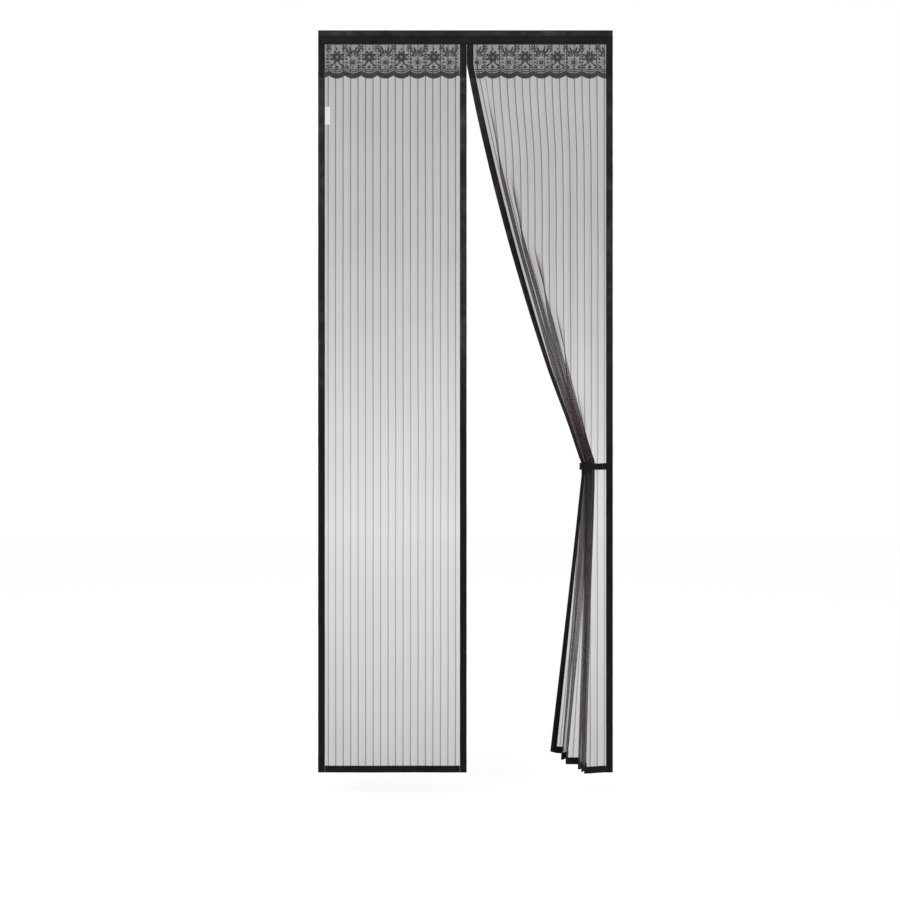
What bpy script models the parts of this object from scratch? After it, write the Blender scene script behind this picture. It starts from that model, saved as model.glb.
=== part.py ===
"""Magnetic insect screen for a doorway.

Two net panels hang from one folded header. The left panel hangs flat. The right
one is drawn aside and held by a strap, so its net gathers into folds, which open
again below the strap.

Metres, +Z up, +X to the right, the front towards -Y. The origin is on the back of
the top fastening strip, at its middle. The plane y = 0 is the face of the door
frame that the screen is stuck to.
"""

import math

import bmesh
import bpy
import numpy as np
from mathutils import Matrix, Vector

SCREEN_W = 0.794  # across both panels
SCREEN_H = 2.000  # header to hem
MEET_X = 0.003  # where the two panels meet, from the middle
HEADER_H = 0.0375
FACING_H = 0.0225  # the second tape along the header's lower edge
TAPE_W = 0.018  # every binding, folded
TAPE_T = 0.0006
NET_T = 0.0005
LACE_T = 0.0005
CLEARANCE = 0.0003  # between pieces that lie on each other
FASTEN_W = 0.016
FASTEN_T = 0.0012
MAGNET_W = 0.007
MAGNET_PLAY = 0.0010  # beside each magnet in its pocket
MAGNET_SLACK = 0.0007  # before and behind it
MAGNET_T = 0.0010
MAGNET_L = 0.026
MAGNET_COUNT = 8
MAGNET_FIRST = 0.160  # below the top of the screen
MAGNET_PITCH = 0.240
STRIPE_COUNT = 18  # thicker warp bands woven into the net
STRIPE_W = 0.0026
STRIPE_T = 0.00025
LACE_TUCK = 0.008  # held inside the header
LACE_MARGIN = 0.0012  # beside the drawn binding
LACE_DROP = 0.0885  # below the header, to the points of the scallops
SCALLOP_PITCH = 0.0435
SCALLOP_DEPTH = 0.0085
SCALLOP_LEFT = 0.0104  # where the first scallop begins, from each lace's left end
SCALLOP_RIGHT = -0.0140
MOTIF_HALF = 0.019  # half the width that a flower or a spray takes
FLOWER_Z = 0.056  # motifs, above the points of the scallops
SPRAY_Z = 0.054
BORDER_Z = 0.0165
JOIN_DROP = 0.093  # the two panels are sewn together down to here
FLAT_DROP = 0.135  # the gathered net lies flat down to here
SWELL_DROP = 0.220  # and has its full folds this much lower
TIE_DROP = 1.175
STRAP_H = 0.018
STRAP_T = 0.0012
STRAP_EASE = 0.0045  # beside the drawn edge, where the strap turns round it
STRAP_LAP = 0.014  # the strap's end on the right binding
STRAP_ARC = 6  # flats round the drawn edge
LABEL_W = 0.014
LABEL_H = 0.048
LABEL_T = 0.0003
LABEL_DROP = 0.206
LEAD_AT_TIE = 0.3135  # the drawn edge, from the middle, at the strap
LEAD_SLOPE = 0.19  # how steeply the drawn edge leaves the seam
LEAD_AT_HEM = 0.2202
TIE_TURN = 0.010  # half the height over which the drawn edge turns at the strap
FOLD_R = 0.0026
FRONT_W = 0.060  # of the net over which tight folds turn to flat net
HELD_W = 0.006  # beside the frame's binding, where the net stays flat
TIGHT_SEEN = 0.12  # share of a fold's width that still shows high up
TIGHT_TIED = -0.01  # and at the strap, where the folds pass under each other
FLAT_RIPPLE = 0.07  # share of width that the loose net's ripples take up
LEAD_TURN = 0.52  # how far the drawn edge turns away at the strap
WAIST = 0.32  # how much the strap squeezes the folds' depth
WAIST_H = 0.130
# The folds of the drawn net from its leading edge: group, width before gathering,
# and how far each turns from the door's plane when let down at the hem, in degrees.
FOLDS = (
    ("lead", 0.0380, 14),
    ("inner", 0.0410, 89),
    ("inner", 0.0155, 82),
    ("inner", 0.0405, 89),
    ("front", 0.0350, 10),
    ("front", 0.0340, 12),
    ("outer", 0.0405, 89),
    ("outer", 0.0155, 82),
    ("outer", 0.0410, 89),
    ("frame", 0.0380, 6),
    ("frame", 0.0374, 9),
)
# When each group lets go below the strap, as shares of the whole opening.
LET_GO = {
    "lead": (0.05, 0.85),
    "inner": (0.0, 1.0),
    "front": (0.5, 1.0),
    "outer": (0.0, 1.0),
    "frame": (0.0, 0.75),
}
STATIONS = (
    0.195, 0.300, 0.425, 0.560, 0.700, 0.830, 0.950, 1.030, 1.095, 1.145, 1.175,
    1.205, 1.240, 1.300, 1.400, 1.530, 1.670, 1.810,
)

TOP_Z = HEADER_H / 2
HALF_W = SCREEN_W / 2
PLAIN_HALF = NET_T / 2 + CLEARANCE + TAPE_T
POCKET_IN = MAGNET_T / 2 + MAGNET_SLACK
POCKET_HALF = POCKET_IN + TAPE_T
POCKET_W = TAPE_T + 2 * MAGNET_PLAY + MAGNET_W
SLOT = NET_T / 2 + CLEARANCE
BACK_Y = -(2 * FASTEN_T + 2 * CLEARANCE)
NET_Y = BACK_Y - PLAIN_HALF
LACE_Y = NET_Y - NET_T / 2 - CLEARANCE - LACE_T / 2
EDGE = TAPE_T + CLEARANCE
HUNG_DROP = HEADER_H + CLEARANCE
HEM_DROP = SCREEN_H - TAPE_W
PANEL_W = HALF_W - MEET_X - CLEARANCE


def clear_scene():
    for obj in list(bpy.data.objects):
        bpy.data.objects.remove(obj)


def collection(name):
    group = bpy.data.collections.new(name)
    bpy.context.scene.collection.children.link(group)
    return group


def finish(name, colour, roughness, metallic=0.0):
    material = bpy.data.materials.new(name)
    material.use_nodes = True
    shader = material.node_tree.nodes["Principled BSDF"]
    shader.inputs["Base Color"].default_value = (*colour, 1)
    shader.inputs["Roughness"].default_value = roughness
    shader.inputs["Metallic"].default_value = metallic
    return material


def smooth(t):
    t = np.clip(t, 0.0, 1.0)
    return t * t * (3 - 2 * t)


def add(name, mesh, material, group):
    obj = bpy.data.objects.new(name, mesh)
    mesh.materials.append(material)
    group.objects.link(obj)
    return obj


def from_curve(name, splines, depth, matrix, material, group):
    """A flat outline, with any holes as further splines, as a welded solid."""
    curve = bpy.data.curves.new(name, "CURVE")
    curve.dimensions = "2D"
    curve.fill_mode = "BOTH"
    curve.extrude = depth / 2
    for points in splines:
        spline = curve.splines.new("POLY")
        spline.points.add(len(points) - 1)
        for point, (x, y) in zip(spline.points, points):
            point.co = (x, y, 0, 1)
        spline.use_cyclic_u = True
    outline = bpy.data.objects.new(name + "_outline", curve)
    group.objects.link(outline)
    bpy.context.view_layer.update()
    graph = bpy.context.evaluated_depsgraph_get()
    mesh = bpy.data.meshes.new_from_object(outline.evaluated_get(graph))
    bpy.data.objects.remove(outline)
    shape = bmesh.new()
    shape.from_mesh(mesh)
    bmesh.ops.remove_doubles(shape, verts=shape.verts, dist=1e-6)
    bmesh.ops.recalc_face_normals(shape, faces=shape.faces)
    shape.to_mesh(mesh)
    shape.free()
    mesh.materials.clear()
    obj = add(name, mesh, material, group)
    obj.matrix_world = matrix
    return obj


def upright(x, y, z):
    """Outline in x and y, drawn upwards."""
    return Matrix.Translation((x, y, z))


def along_x(x, y, z):
    """Outline in y and z, drawn to the right."""
    turn = Matrix(((0, 0, 1), (1, 0, 0), (0, 1, 0))).to_4x4()
    return Matrix.Translation((x, y, z)) @ turn


def facing(x, y, z):
    """Outline in x and z, drawn from front to back."""
    return Matrix.Translation((x, y, z)) @ Matrix.Rotation(math.radians(90), 4, "X")


def loft(name, rings, cap, material, group):
    """Closed rings of equal length joined into one body.

    Each quad is split along its shorter diagonal, so that cloth and the tape
    folded over it bend alike. cap lists the triangles that close an end, as places
    in its ring.
    """
    shape = bmesh.new()
    levels = [[shape.verts.new(point) for point in ring] for ring in rings]
    for low, high in zip(levels, levels[1:]):
        for i in range(len(low)):
            j = (i + 1) % len(low)
            if (high[j].co - low[i].co).length <= (high[i].co - low[j].co).length:
                shape.faces.new((low[i], low[j], high[j]))
                shape.faces.new((low[i], high[j], high[i]))
            else:
                shape.faces.new((low[i], low[j], high[i]))
                shape.faces.new((low[j], high[j], high[i]))
    for ring in (levels[0], levels[-1]):
        for a, b, c in cap:
            shape.faces.new((ring[a], ring[b], ring[c]))
    bmesh.ops.recalc_face_normals(shape, faces=shape.faces)
    mesh = bpy.data.meshes.new(name)
    shape.to_mesh(mesh)
    shape.free()
    return add(name, mesh, material, group)


def box(name, size, matrix, material, group):
    shape = bmesh.new()
    bmesh.ops.create_cube(shape, size=1.0, matrix=Matrix.Diagonal((*size, 1)))
    mesh = bpy.data.meshes.new(name)
    shape.to_mesh(mesh)
    shape.free()
    obj = add(name, mesh, material, group)
    obj.matrix_world = matrix
    return obj


def fold_profile(half, slot):
    """A tape folded over an edge at 0 and open at TAPE_W, as thick as the two sides need."""
    wall = half - slot
    return [
        (0, -half / 2), (wall, -half), (TAPE_W, -half), (TAPE_W, -slot), (wall, -slot),
        (wall, slot), (TAPE_W, slot), (TAPE_W, half), (wall, half), (0, half / 2),
    ]


# The triangles that close the end of a tape with the profile above.
FOLD_CAP = (
    (0, 1, 4), (0, 4, 5), (0, 5, 9), (9, 5, 8), (1, 2, 3), (1, 3, 4), (5, 6, 7), (5, 7, 8),
)


def plain_profile():
    return fold_profile(PLAIN_HALF, SLOT)


def pocket_profile():
    """The same tape with room for magnets between its sides."""
    return fold_profile(POCKET_HALF, POCKET_IN)


def lead_x(drop):
    """Where the drawn edge hangs at each height."""
    start = MEET_X + CLEARANCE
    fall = np.clip(drop - JOIN_DROP, 0.0, None)
    span = TIE_DROP - JOIN_DROP
    bend = (LEAD_AT_TIE - start - LEAD_SLOPE * span) / span**2
    above = start + LEAD_SLOPE * fall + bend * fall**2
    share = (drop - TIE_DROP) / (SCREEN_H - TIE_DROP)
    below = LEAD_AT_TIE + (LEAD_AT_HEM - LEAD_AT_TIE) * share
    mix = smooth((drop - TIE_DROP + 2 * TIE_TURN) / (4 * TIE_TURN))
    return above * (1 - mix) + below * mix


class Drape:
    """The middle surface of the drawn net.

    u runs across the cloth from the drawn edge and v down it from the header. At
    each height the cloth is a path in plan whose turning angle alternates from
    fold to fold. The tightness of the folds is solved so that the path just
    reaches the drawn edge, and the length down each column sets how low it hangs.
    """

    def __init__(self, across=788, levels=401):
        self.u = np.linspace(0, PANEL_W, across)
        self.drop = np.linspace(0, SCREEN_H, levels)
        self.step = self.u[1]
        self.ends = np.cumsum([width for _, width, _ in FOLDS])
        self.ends *= (PANEL_W - TAPE_W) / self.ends[-1]
        self.fold = np.searchsorted(self.ends[:-1], self.u)
        sign = np.ones(across)
        for end in self.ends[:-1]:
            sign *= -np.tanh((self.u - end) / FOLD_R)
        held = smooth((PANEL_W - TAPE_W - self.u) / HELD_W)
        self.sign = sign * np.sign(sign[-1]) * held
        self.tied = None
        paths = [self.path(drop) for drop in self.drop]
        self.x = np.array([x for x, _ in paths])
        self.y = np.array([y for _, y in paths])
        run = np.hypot(np.diff(self.x, axis=0), np.diff(self.y, axis=0))
        rise = np.hypot(run, self.drop[1])
        self.v = np.vstack([np.zeros(across), np.cumsum(rise, axis=0)])

    def gathered(self, share, front):
        """Angles above the strap: tight folds as far as front, flatter net beyond."""
        tight = TIGHT_SEEN + (TIGHT_TIED - TIGHT_SEEN) * smooth((share - 0.55) / 0.45)
        flat = 1 - FLAT_RIPPLE * smooth(share / 0.3)
        lead = 1 - 0.10 * smooth(share / 0.5) - LEAD_TURN * smooth((share - 0.25) / 0.75) ** 1.5
        spread = tight + (flat - tight) * smooth((self.u - front) / FRONT_W)
        return np.arccos(np.where(self.u < self.ends[0], lead, spread))

    def released(self, share):
        """Angles below the strap, where each group of folds opens in its turn."""
        angle = np.zeros_like(self.u)
        for i, (group, _, let_down) in enumerate(FOLDS):
            first, last = LET_GO[group]
            part = smooth((share - first) / (last - first))
            turned = self.tied * (1 - part) + math.radians(let_down) * part
            angle = np.where(self.fold == i, turned, angle)
        return angle

    def path(self, drop):
        wanted = HALF_W - lead_x(drop)
        share = float(np.clip((drop - JOIN_DROP) / (TIE_DROP - JOIN_DROP), 0, 1))
        above = drop <= TIE_DROP
        low, high = (-0.1, PANEL_W) if above else (1.0, 0.0)
        for _ in range(34):
            middle = (low + high) / 2
            angle = self.gathered(share, middle) if above else self.released(middle)
            if np.cos(self.sign * angle).sum() * self.step > wanted:
                low = middle
            else:
                high = middle
        if above:
            self.tied = angle
        turn = self.sign * angle
        x = HALF_W - self.from_outer(np.cos(turn))
        depth = self.from_outer(np.sin(turn)) * smooth((drop - FLAT_DROP) / SWELL_DROP)
        depth *= 1 - WAIST * math.exp(-(((drop - TIE_DROP) / WAIST_H) ** 2))
        lean = smooth((PANEL_W - TAPE_W - self.u) / (PANEL_W / 2))
        behind = np.where(lean > 0.01, -depth / np.maximum(lean, 0.01), 0).max()
        return x, NET_Y - depth - max(behind, 0.0) * lean

    def from_outer(self, slope):
        total = np.cumsum(slope[::-1])[::-1]
        return (total - slope / 2 - slope[-1] / 2) * self.step

    def at(self, u, v):
        """Points at every v down every u, as an array (v, u, 3)."""
        u = np.atleast_1d(u)
        v = np.atleast_1d(v)
        out = np.zeros((len(v), len(u), 3))
        for j, across in enumerate(u):
            k = min(max(across / self.step, 0), len(self.u) - 1.001)
            i = int(k)
            part = k - i
            length = self.v[:, i] * (1 - part) + self.v[:, i + 1] * part
            drop = np.interp(v, length, self.drop)
            over = v - np.minimum(v, length[-1])
            for axis, grid in ((0, self.x), (1, self.y)):
                column = grid[:, i] * (1 - part) + grid[:, i + 1] * part
                out[:, j, axis] = np.interp(drop, self.drop, column)
            out[:, j, 2] = TOP_Z - drop - over
        return out

    def normals(self, u, v):
        """Unit vectors out of the cloth, towards the front where it lies flat."""
        e = self.step
        u = np.atleast_1d(u)
        v = np.atleast_1d(v)
        right = self.at(np.clip(u + e, 0, PANEL_W), v) - self.at(np.clip(u - e, 0, PANEL_W), v)
        down = self.at(u, np.clip(v + e, 0, SCREEN_H)) - self.at(u, np.clip(v - e, 0, SCREEN_H))
        out = np.cross(down, right)
        return out / np.linalg.norm(out, axis=2, keepdims=True)

    def columns(self, first, last):
        """Places across the net that catch every fold."""
        places = [first, TAPE_W, last]
        start = 0.0
        for end in self.ends:
            places += [end - 2.4 * FOLD_R, end - 0.8 * FOLD_R, end + 0.8 * FOLD_R, end + 2.4 * FOLD_R]
            if end - start > 8 * FOLD_R:
                places.append((start + end) / 2)
            start = end
        places = np.sort([p for p in places if first <= p <= last])
        return places[np.append(True, np.diff(places) > 0.0008)]

    def shell(self, name, u, v, material, group):
        """The cloth itself, a closed sheet of the net's thickness."""
        middle = self.at(u, v)
        out = self.normals(u, v) * NET_T / 2
        rings = [
            [Vector(p) for p in np.vstack([front, back[::-1]])]
            for front, back in zip(middle + out, middle - out)
        ]
        last = len(rings[0]) - 1
        cap = [(i, i + 1, last - i) for i in range(len(u) - 1)]
        cap += [(i + 1, last - i - 1, last - i) for i in range(len(u) - 1)]
        return loft(name, rings, cap, material, group)


def magnet_places():
    return [MAGNET_FIRST + MAGNET_PITCH * i for i in range(MAGNET_COUNT)]


def stations():
    """Places down the cloth where its sections are drawn, closer about the strap."""
    turn = (JOIN_DROP, (JOIN_DROP + FLAT_DROP) / 2, FLAT_DROP)
    places = np.sort([EDGE, HUNG_DROP, *turn, *STATIONS, HEM_DROP, SCREEN_H - EDGE])
    return places[np.append(True, np.diff(places) > 0.004) & (places <= SCREEN_H - EDGE)]


def scallops(width, start):
    """The wavy lower edge of the lace as points from left to right."""
    count = round(width / SCALLOP_PITCH * 5)
    for i in range(count + 1):
        x = width * i / count
        turn = math.pi * (x - start) / SCALLOP_PITCH
        yield x, SCALLOP_DEPTH * (1 - abs(math.sin(turn)) ** 0.8)


def petal(x, z, length, width, angle):
    """A leaf-shaped opening that starts at a point and grows outwards."""
    turn = math.radians(angle)
    shape = ((0.0, 0.0), (0.35, 0.42), (0.75, 0.45), (1.0, 0.0), (0.75, -0.45), (0.35, -0.42))
    points = []
    for along, side in shape:
        a, s = along * length, side * width
        points.append((x + a * math.sin(turn) + s * math.cos(turn), z + a * math.cos(turn) - s * math.sin(turn)))
    return points


def flower(x):
    """Five petals about a solid eye."""
    for i in range(5):
        angle = 72 * i
        turn = math.radians(angle)
        start = (x + 0.0042 * math.sin(turn), FLOWER_Z + 0.0042 * math.cos(turn))
        yield petal(*start, 0.0125, 0.0075, angle)


def spray(x):
    """Four leaves in a V over one small bloom."""
    for angle in (-48, -20, 20, 48):
        turn = math.radians(angle)
        start = (x + 0.005 * math.sin(turn), SPRAY_Z + 0.005 * math.cos(turn))
        yield petal(*start, 0.021, 0.0055, angle)
    yield petal(x, SPRAY_Z - 0.0165, 0.011, 0.010, 0)


def lace_outline(width, start, motifs):
    """The lace as an outline and its openings, from its left end at 0.

    start is where its first scallop begins, and the two motifs take turns over
    the scallops.
    """
    top = LACE_TUCK + LACE_DROP
    splines = [[*scallops(width, start), (width, top), (0, top)]]
    for i in range(math.ceil(width / SCALLOP_PITCH)):
        x = start + SCALLOP_PITCH * (i + 0.5)
        if MOTIF_HALF < x < width - MOTIF_HALF:
            splines += motifs[i % 2](x)
            for side in (-1, 1):
                splines.append(petal(x + side * 0.0035, BORDER_Z, 0.013, 0.0050, side * 75))
    return splines


def lace_height(z):
    return z + TOP_Z - HEADER_H - LACE_DROP


def build_fastenings(group, hook, loop):
    """Hook strips stuck to the frame and loop strips sewn behind the screen."""
    length = SCREEN_W
    side_h = SCREEN_H - HEADER_H - CLEARANCE
    side_z = TOP_Z - HUNG_DROP - side_h / 2
    side_x = HALF_W - TAPE_W / 2
    layers = (("hook", hook, -FASTEN_T / 2), ("loop", loop, -1.5 * FASTEN_T - CLEARANCE))
    for kind, material, y in layers:
        box(f"top_{kind}_strip", (length, FASTEN_T, FASTEN_W), Matrix.Translation((0, y, 0)), material, group)
        for side, x in (("left", -side_x), ("right", side_x)):
            size = (FASTEN_W, FASTEN_T, side_h)
            place = Matrix.Translation((x, y, side_z))
            box(f"{side}_{kind}_strip", size, place, material, group)


def build_header(group, tape):
    """A tape folded over the tops of both nets and the lace, and its facing."""
    back = BACK_Y
    front = LACE_Y - LACE_T / 2 - CLEARANCE - TAPE_T
    low = TOP_Z - HEADER_H
    fold = [
        (back, low), (back, TOP_Z - TAPE_T), (back - TAPE_T, TOP_Z), (front + TAPE_T, TOP_Z),
        (front, TOP_Z - TAPE_T), (front, low), (front + TAPE_T, low),
        (front + TAPE_T, TOP_Z - TAPE_T), (back - TAPE_T, TOP_Z - TAPE_T), (back - TAPE_T, low),
    ]
    from_curve("header_band", [fold], SCREEN_W, along_x(0, 0, 0), tape, group)
    facing_y = front - CLEARANCE - TAPE_T / 2
    place = Matrix.Translation((0, facing_y, low + FACING_H / 2))
    box("header_facing", (SCREEN_W, TAPE_T, FACING_H), place, tape, group)


def net_section(left, right):
    """The flat net's section, with its thicker stripes raised on the front."""
    clear = (right - left - STRIPE_COUNT * STRIPE_W) / (STRIPE_COUNT + 1)
    front = -NET_T / 2
    points = [(left, NET_T / 2), (left, front)]
    for i in range(STRIPE_COUNT):
        x = left + clear * (i + 1) + STRIPE_W * i
        points += [
            (x, front), (x + STRIPE_W / 4, front - STRIPE_T),
            (x + STRIPE_W * 3 / 4, front - STRIPE_T), (x + STRIPE_W, front),
        ]
    return points + [(right, front), (right, NET_T / 2)]


def build_left(group, net, tape):
    """The panel that hangs flat."""
    outer = -HALF_W
    height = SCREEN_H - HUNG_DROP
    middle = TOP_Z - HUNG_DROP - height / 2
    from_curve("left_outer_binding", [plain_profile()], height, upright(outer, NET_Y, middle), tape, group)
    meeting = [(MEET_X - x, y) for x, y in pocket_profile()]
    from_curve("left_meeting_binding", [meeting], height, upright(0, NET_Y, middle), tape, group)
    left = outer + EDGE
    right = MEET_X - POCKET_W
    net_h = SCREEN_H - 2 * EDGE
    section = net_section(left, right)
    from_curve("left_net", [section], net_h, upright(0, NET_Y, TOP_Z - EDGE - net_h / 2), net, group)
    hem_left = outer + TAPE_W + CLEARANCE
    hem_right = MEET_X - TAPE_W - CLEARANCE
    hem = [(y, x) for x, y in plain_profile()]
    place = along_x((hem_left + hem_right) / 2, NET_Y, TOP_Z - SCREEN_H)
    from_curve("left_hem_binding", [hem], hem_right - hem_left, place, tape, group)


def build_right(drape, group, net, tape):
    """The panel that is drawn aside, its bindings lofted along the cloth."""
    v = stations()
    drape.shell("right_net", drape.columns(POCKET_W, PANEL_W - EDGE), v, net, group)
    down = np.append(v[(v >= HUNG_DROP) & (v <= HEM_DROP)], SCREEN_H)
    section = np.array(pocket_profile())
    middle = drape.at(section[:, 0], down)
    out = drape.normals(section[:, 0], down)
    rings = middle - out * section[None, :, 1:]
    rings = [[Vector(p) for p in ring] for ring in rings]
    loft("right_leading_binding", rings, FOLD_CAP, tape, group)
    u = drape.columns(TAPE_W + CLEARANCE, PANEL_W - TAPE_W - CLEARANCE)
    section = np.array(plain_profile())
    rise = SCREEN_H - section[:, 0]
    middle = drape.at(u, rise)
    out = drape.normals(u, rise)
    rings = np.swapaxes(middle - out * section[:, None, 1:], 0, 1)
    rings = [[Vector(p) for p in ring] for ring in rings]
    loft("right_hem_binding", rings, FOLD_CAP, tape, group)
    height = SCREEN_H - HUNG_DROP
    outer = [(HALF_W - x, y) for x, y in plain_profile()]
    place = upright(0, NET_Y, TOP_Z - HUNG_DROP - height / 2)
    from_curve("right_outer_binding", [outer], height, place, tape, group)


def build_laces(drape, group, lace):
    """Scalloped lace under the header, in front of each net."""
    width = HALF_W + MEET_X - 2 * TAPE_W - 2 * CLEARANCE
    left = -HALF_W + TAPE_W + CLEARANCE
    low = lace_height(0)
    outline = lace_outline(width, SCALLOP_LEFT, (flower, spray))
    from_curve("left_lace", outline, LACE_T, facing(left, LACE_Y, low), lace, group)
    first = TAPE_W + LACE_MARGIN
    width = PANEL_W - first - TAPE_W - CLEARANCE
    outline = lace_outline(width, SCALLOP_RIGHT, (spray, flower))
    right = from_curve("right_lace", outline, LACE_T, facing(0, LACE_Y, low), lace, group)
    right.data.transform(right.matrix_world)
    right.matrix_world = Matrix.Identity(4)
    for vertex in right.data.vertices:
        drop = TOP_Z - vertex.co.z
        row = min(drop / drape.drop[1], len(drape.drop) - 1.001)
        low_x, high_x = (np.interp(first + vertex.co.x, drape.u, drape.x[int(row) + i]) for i in (0, 1))
        vertex.co.x = low_x + (high_x - low_x) * (row % 1)


def build_magnets(drape, group, metal):
    """Bar magnets in the two meeting bindings, facing each other when closed."""
    across = TAPE_T + MAGNET_PLAY + MAGNET_W / 2
    size = (MAGNET_W, MAGNET_T, MAGNET_L)
    rows = stations()
    for i, v in enumerate(magnet_places()):
        place = Matrix.Translation((MEET_X - across, NET_Y, TOP_Z - v))
        box(f"left_magnet_{i + 1}", size, place, metal, group)
        above = rows[rows < v][-1]
        below = rows[rows > v][0]
        share = (v - above) / (below - above)
        ends = drape.at(across, (above, below))[:, 0]
        up = Vector(ends[0] - ends[1]).normalized()
        out = Vector(drape.normals(across, (above, below)).mean(axis=0)[0])
        side = up.cross(out).normalized()
        out = side.cross(up)
        turn = Matrix((side, -out, up)).transposed()
        middle = ends[0] + (ends[1] - ends[0]) * share
        place = Matrix.Translation(middle) @ turn.to_4x4()
        box(f"right_magnet_{i + 1}", size, place, metal, group)


def build_strap(drape, group, tape):
    """One strap from the right binding, round the gathered net and back to it."""
    near = abs(drape.drop - TIE_DROP) <= STRAP_H / 2 + 2 * CLEARANCE
    x, y = drape.x[near], drape.y[near]
    inside = x < HALF_W - TAPE_W
    half = STRAP_T / 2
    wall = POCKET_HALF + CLEARANCE + half
    left = x[inside].min() - wall - STRAP_EASE
    front = y[inside].min() - wall
    back = BACK_Y + CLEARANCE + half
    binding_front = NET_Y - PLAIN_HALF - CLEARANCE - half
    inner = HALF_W - TAPE_W - CLEARANCE
    radius = (back - front) / 2
    middle = (front + back) / 2
    bundle_right = x[(y < middle) & inside].max() + wall
    path = [(inner, back), (left + radius / 2, back)]
    for i in range(1, STRAP_ARC):
        turn = math.pi * i / STRAP_ARC
        path.append((left + radius / 2 * (1 - math.sin(turn)), middle + radius * math.cos(turn)))
    path += [(left + radius / 2, front), (bundle_right, front)]
    path += [(inner, binding_front), (inner + CLEARANCE + STRAP_LAP, binding_front)]
    shape = bmesh.new()
    low = [shape.verts.new((px, py, TOP_Z - TIE_DROP - STRAP_H / 2)) for px, py in path]
    high = [shape.verts.new((px, py, TOP_Z - TIE_DROP + STRAP_H / 2)) for px, py in path]
    for i in range(len(path) - 1):
        shape.faces.new((low[i], low[i + 1], high[i + 1], high[i]))
    mesh = bpy.data.meshes.new("tie_strap")
    shape.to_mesh(mesh)
    shape.free()
    strap = add("tie_strap", mesh, tape, group)
    webbing = strap.modifiers.new("webbing", "SOLIDIFY")
    webbing.thickness = STRAP_T
    webbing.offset = 0.0
    webbing.use_even_offset = True


def build_label(group, white):
    """A bare white label on the net beside the left binding."""
    x = -HALF_W + TAPE_W + CLEARANCE + LABEL_W / 2
    y = NET_Y - NET_T / 2 - STRIPE_T - CLEARANCE - LABEL_T / 2
    z = TOP_Z - LABEL_DROP - LABEL_H / 2
    box("label", (LABEL_W, LABEL_T, LABEL_H), Matrix.Translation((x, y, z)), white, group)


def main():
    clear_scene()
    group = collection("insect_screen")
    net = finish("black_net", (0.045, 0.045, 0.047), 0.85)
    tape = finish("black_tape", (0.022, 0.021, 0.023), 0.70)
    lace = finish("black_lace", (0.060, 0.058, 0.062), 0.80)
    hook = finish("black_hook_strip", (0.018, 0.018, 0.018), 0.90)
    loop = finish("black_loop_strip", (0.025, 0.025, 0.026), 0.95)
    metal = finish("magnet", (0.35, 0.35, 0.36), 0.35, 1.0)
    white = finish("white_label", (0.80, 0.80, 0.79), 0.60)
    drape = Drape()
    build_fastenings(group, hook, loop)
    build_header(group, tape)
    build_left(group, net, tape)
    build_right(drape, group, net, tape)
    build_laces(drape, group, lace)
    build_magnets(drape, group, metal)
    build_strap(drape, group, tape)
    build_label(group, white)


main()
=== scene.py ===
"""The looks of the magnetic insect screen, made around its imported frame.

Two net panels hang from one folded header. The left one hangs flat. The right one
is drawn aside by a strap, so that its net gathers into folds. Nets and laces are
open cloth with UVs in metres, so their weave follows the cloth. Tapes are folded
over the cloth's edges and sewn down with running stitches.

Metres, +Z up, +X to the right, the front towards -Y. The plane y = 0 is the face
of the door frame that the screen is stuck to.
"""

import logging
import math
from dataclasses import dataclass
from enum import Enum
from typing import Callable, Iterable, Sequence

import bmesh
import bpy
import numpy as np
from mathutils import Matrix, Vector, noise


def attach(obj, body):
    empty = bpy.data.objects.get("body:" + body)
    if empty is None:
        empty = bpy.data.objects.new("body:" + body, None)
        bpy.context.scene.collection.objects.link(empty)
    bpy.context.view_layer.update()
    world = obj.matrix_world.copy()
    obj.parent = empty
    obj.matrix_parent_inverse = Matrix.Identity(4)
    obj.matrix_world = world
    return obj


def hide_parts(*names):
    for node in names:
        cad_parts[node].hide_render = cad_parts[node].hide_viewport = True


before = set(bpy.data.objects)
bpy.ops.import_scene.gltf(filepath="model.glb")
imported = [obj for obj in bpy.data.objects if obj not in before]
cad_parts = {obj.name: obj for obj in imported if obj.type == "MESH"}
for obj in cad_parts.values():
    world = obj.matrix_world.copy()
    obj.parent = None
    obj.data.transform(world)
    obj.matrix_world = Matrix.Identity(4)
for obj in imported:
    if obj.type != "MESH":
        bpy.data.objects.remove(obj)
LOG = logging.getLogger("insect_screen")
NEAR = 1e-5  # within this, two places are one

Piece = bpy.types.Object
Material = bpy.types.Material
Socket = bpy.types.NodeSocket
Chosen = Callable[[bmesh.types.BMVert | bmesh.types.BMEdge], bool]  # which parts to select
Colour = tuple[float, float, float]
Solid = tuple[np.ndarray, list[tuple[int, ...]]]  # points, and the faces between them
Leaf = tuple[float, float, float, float, float, float]  # across, up, angle, start, length, width


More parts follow.
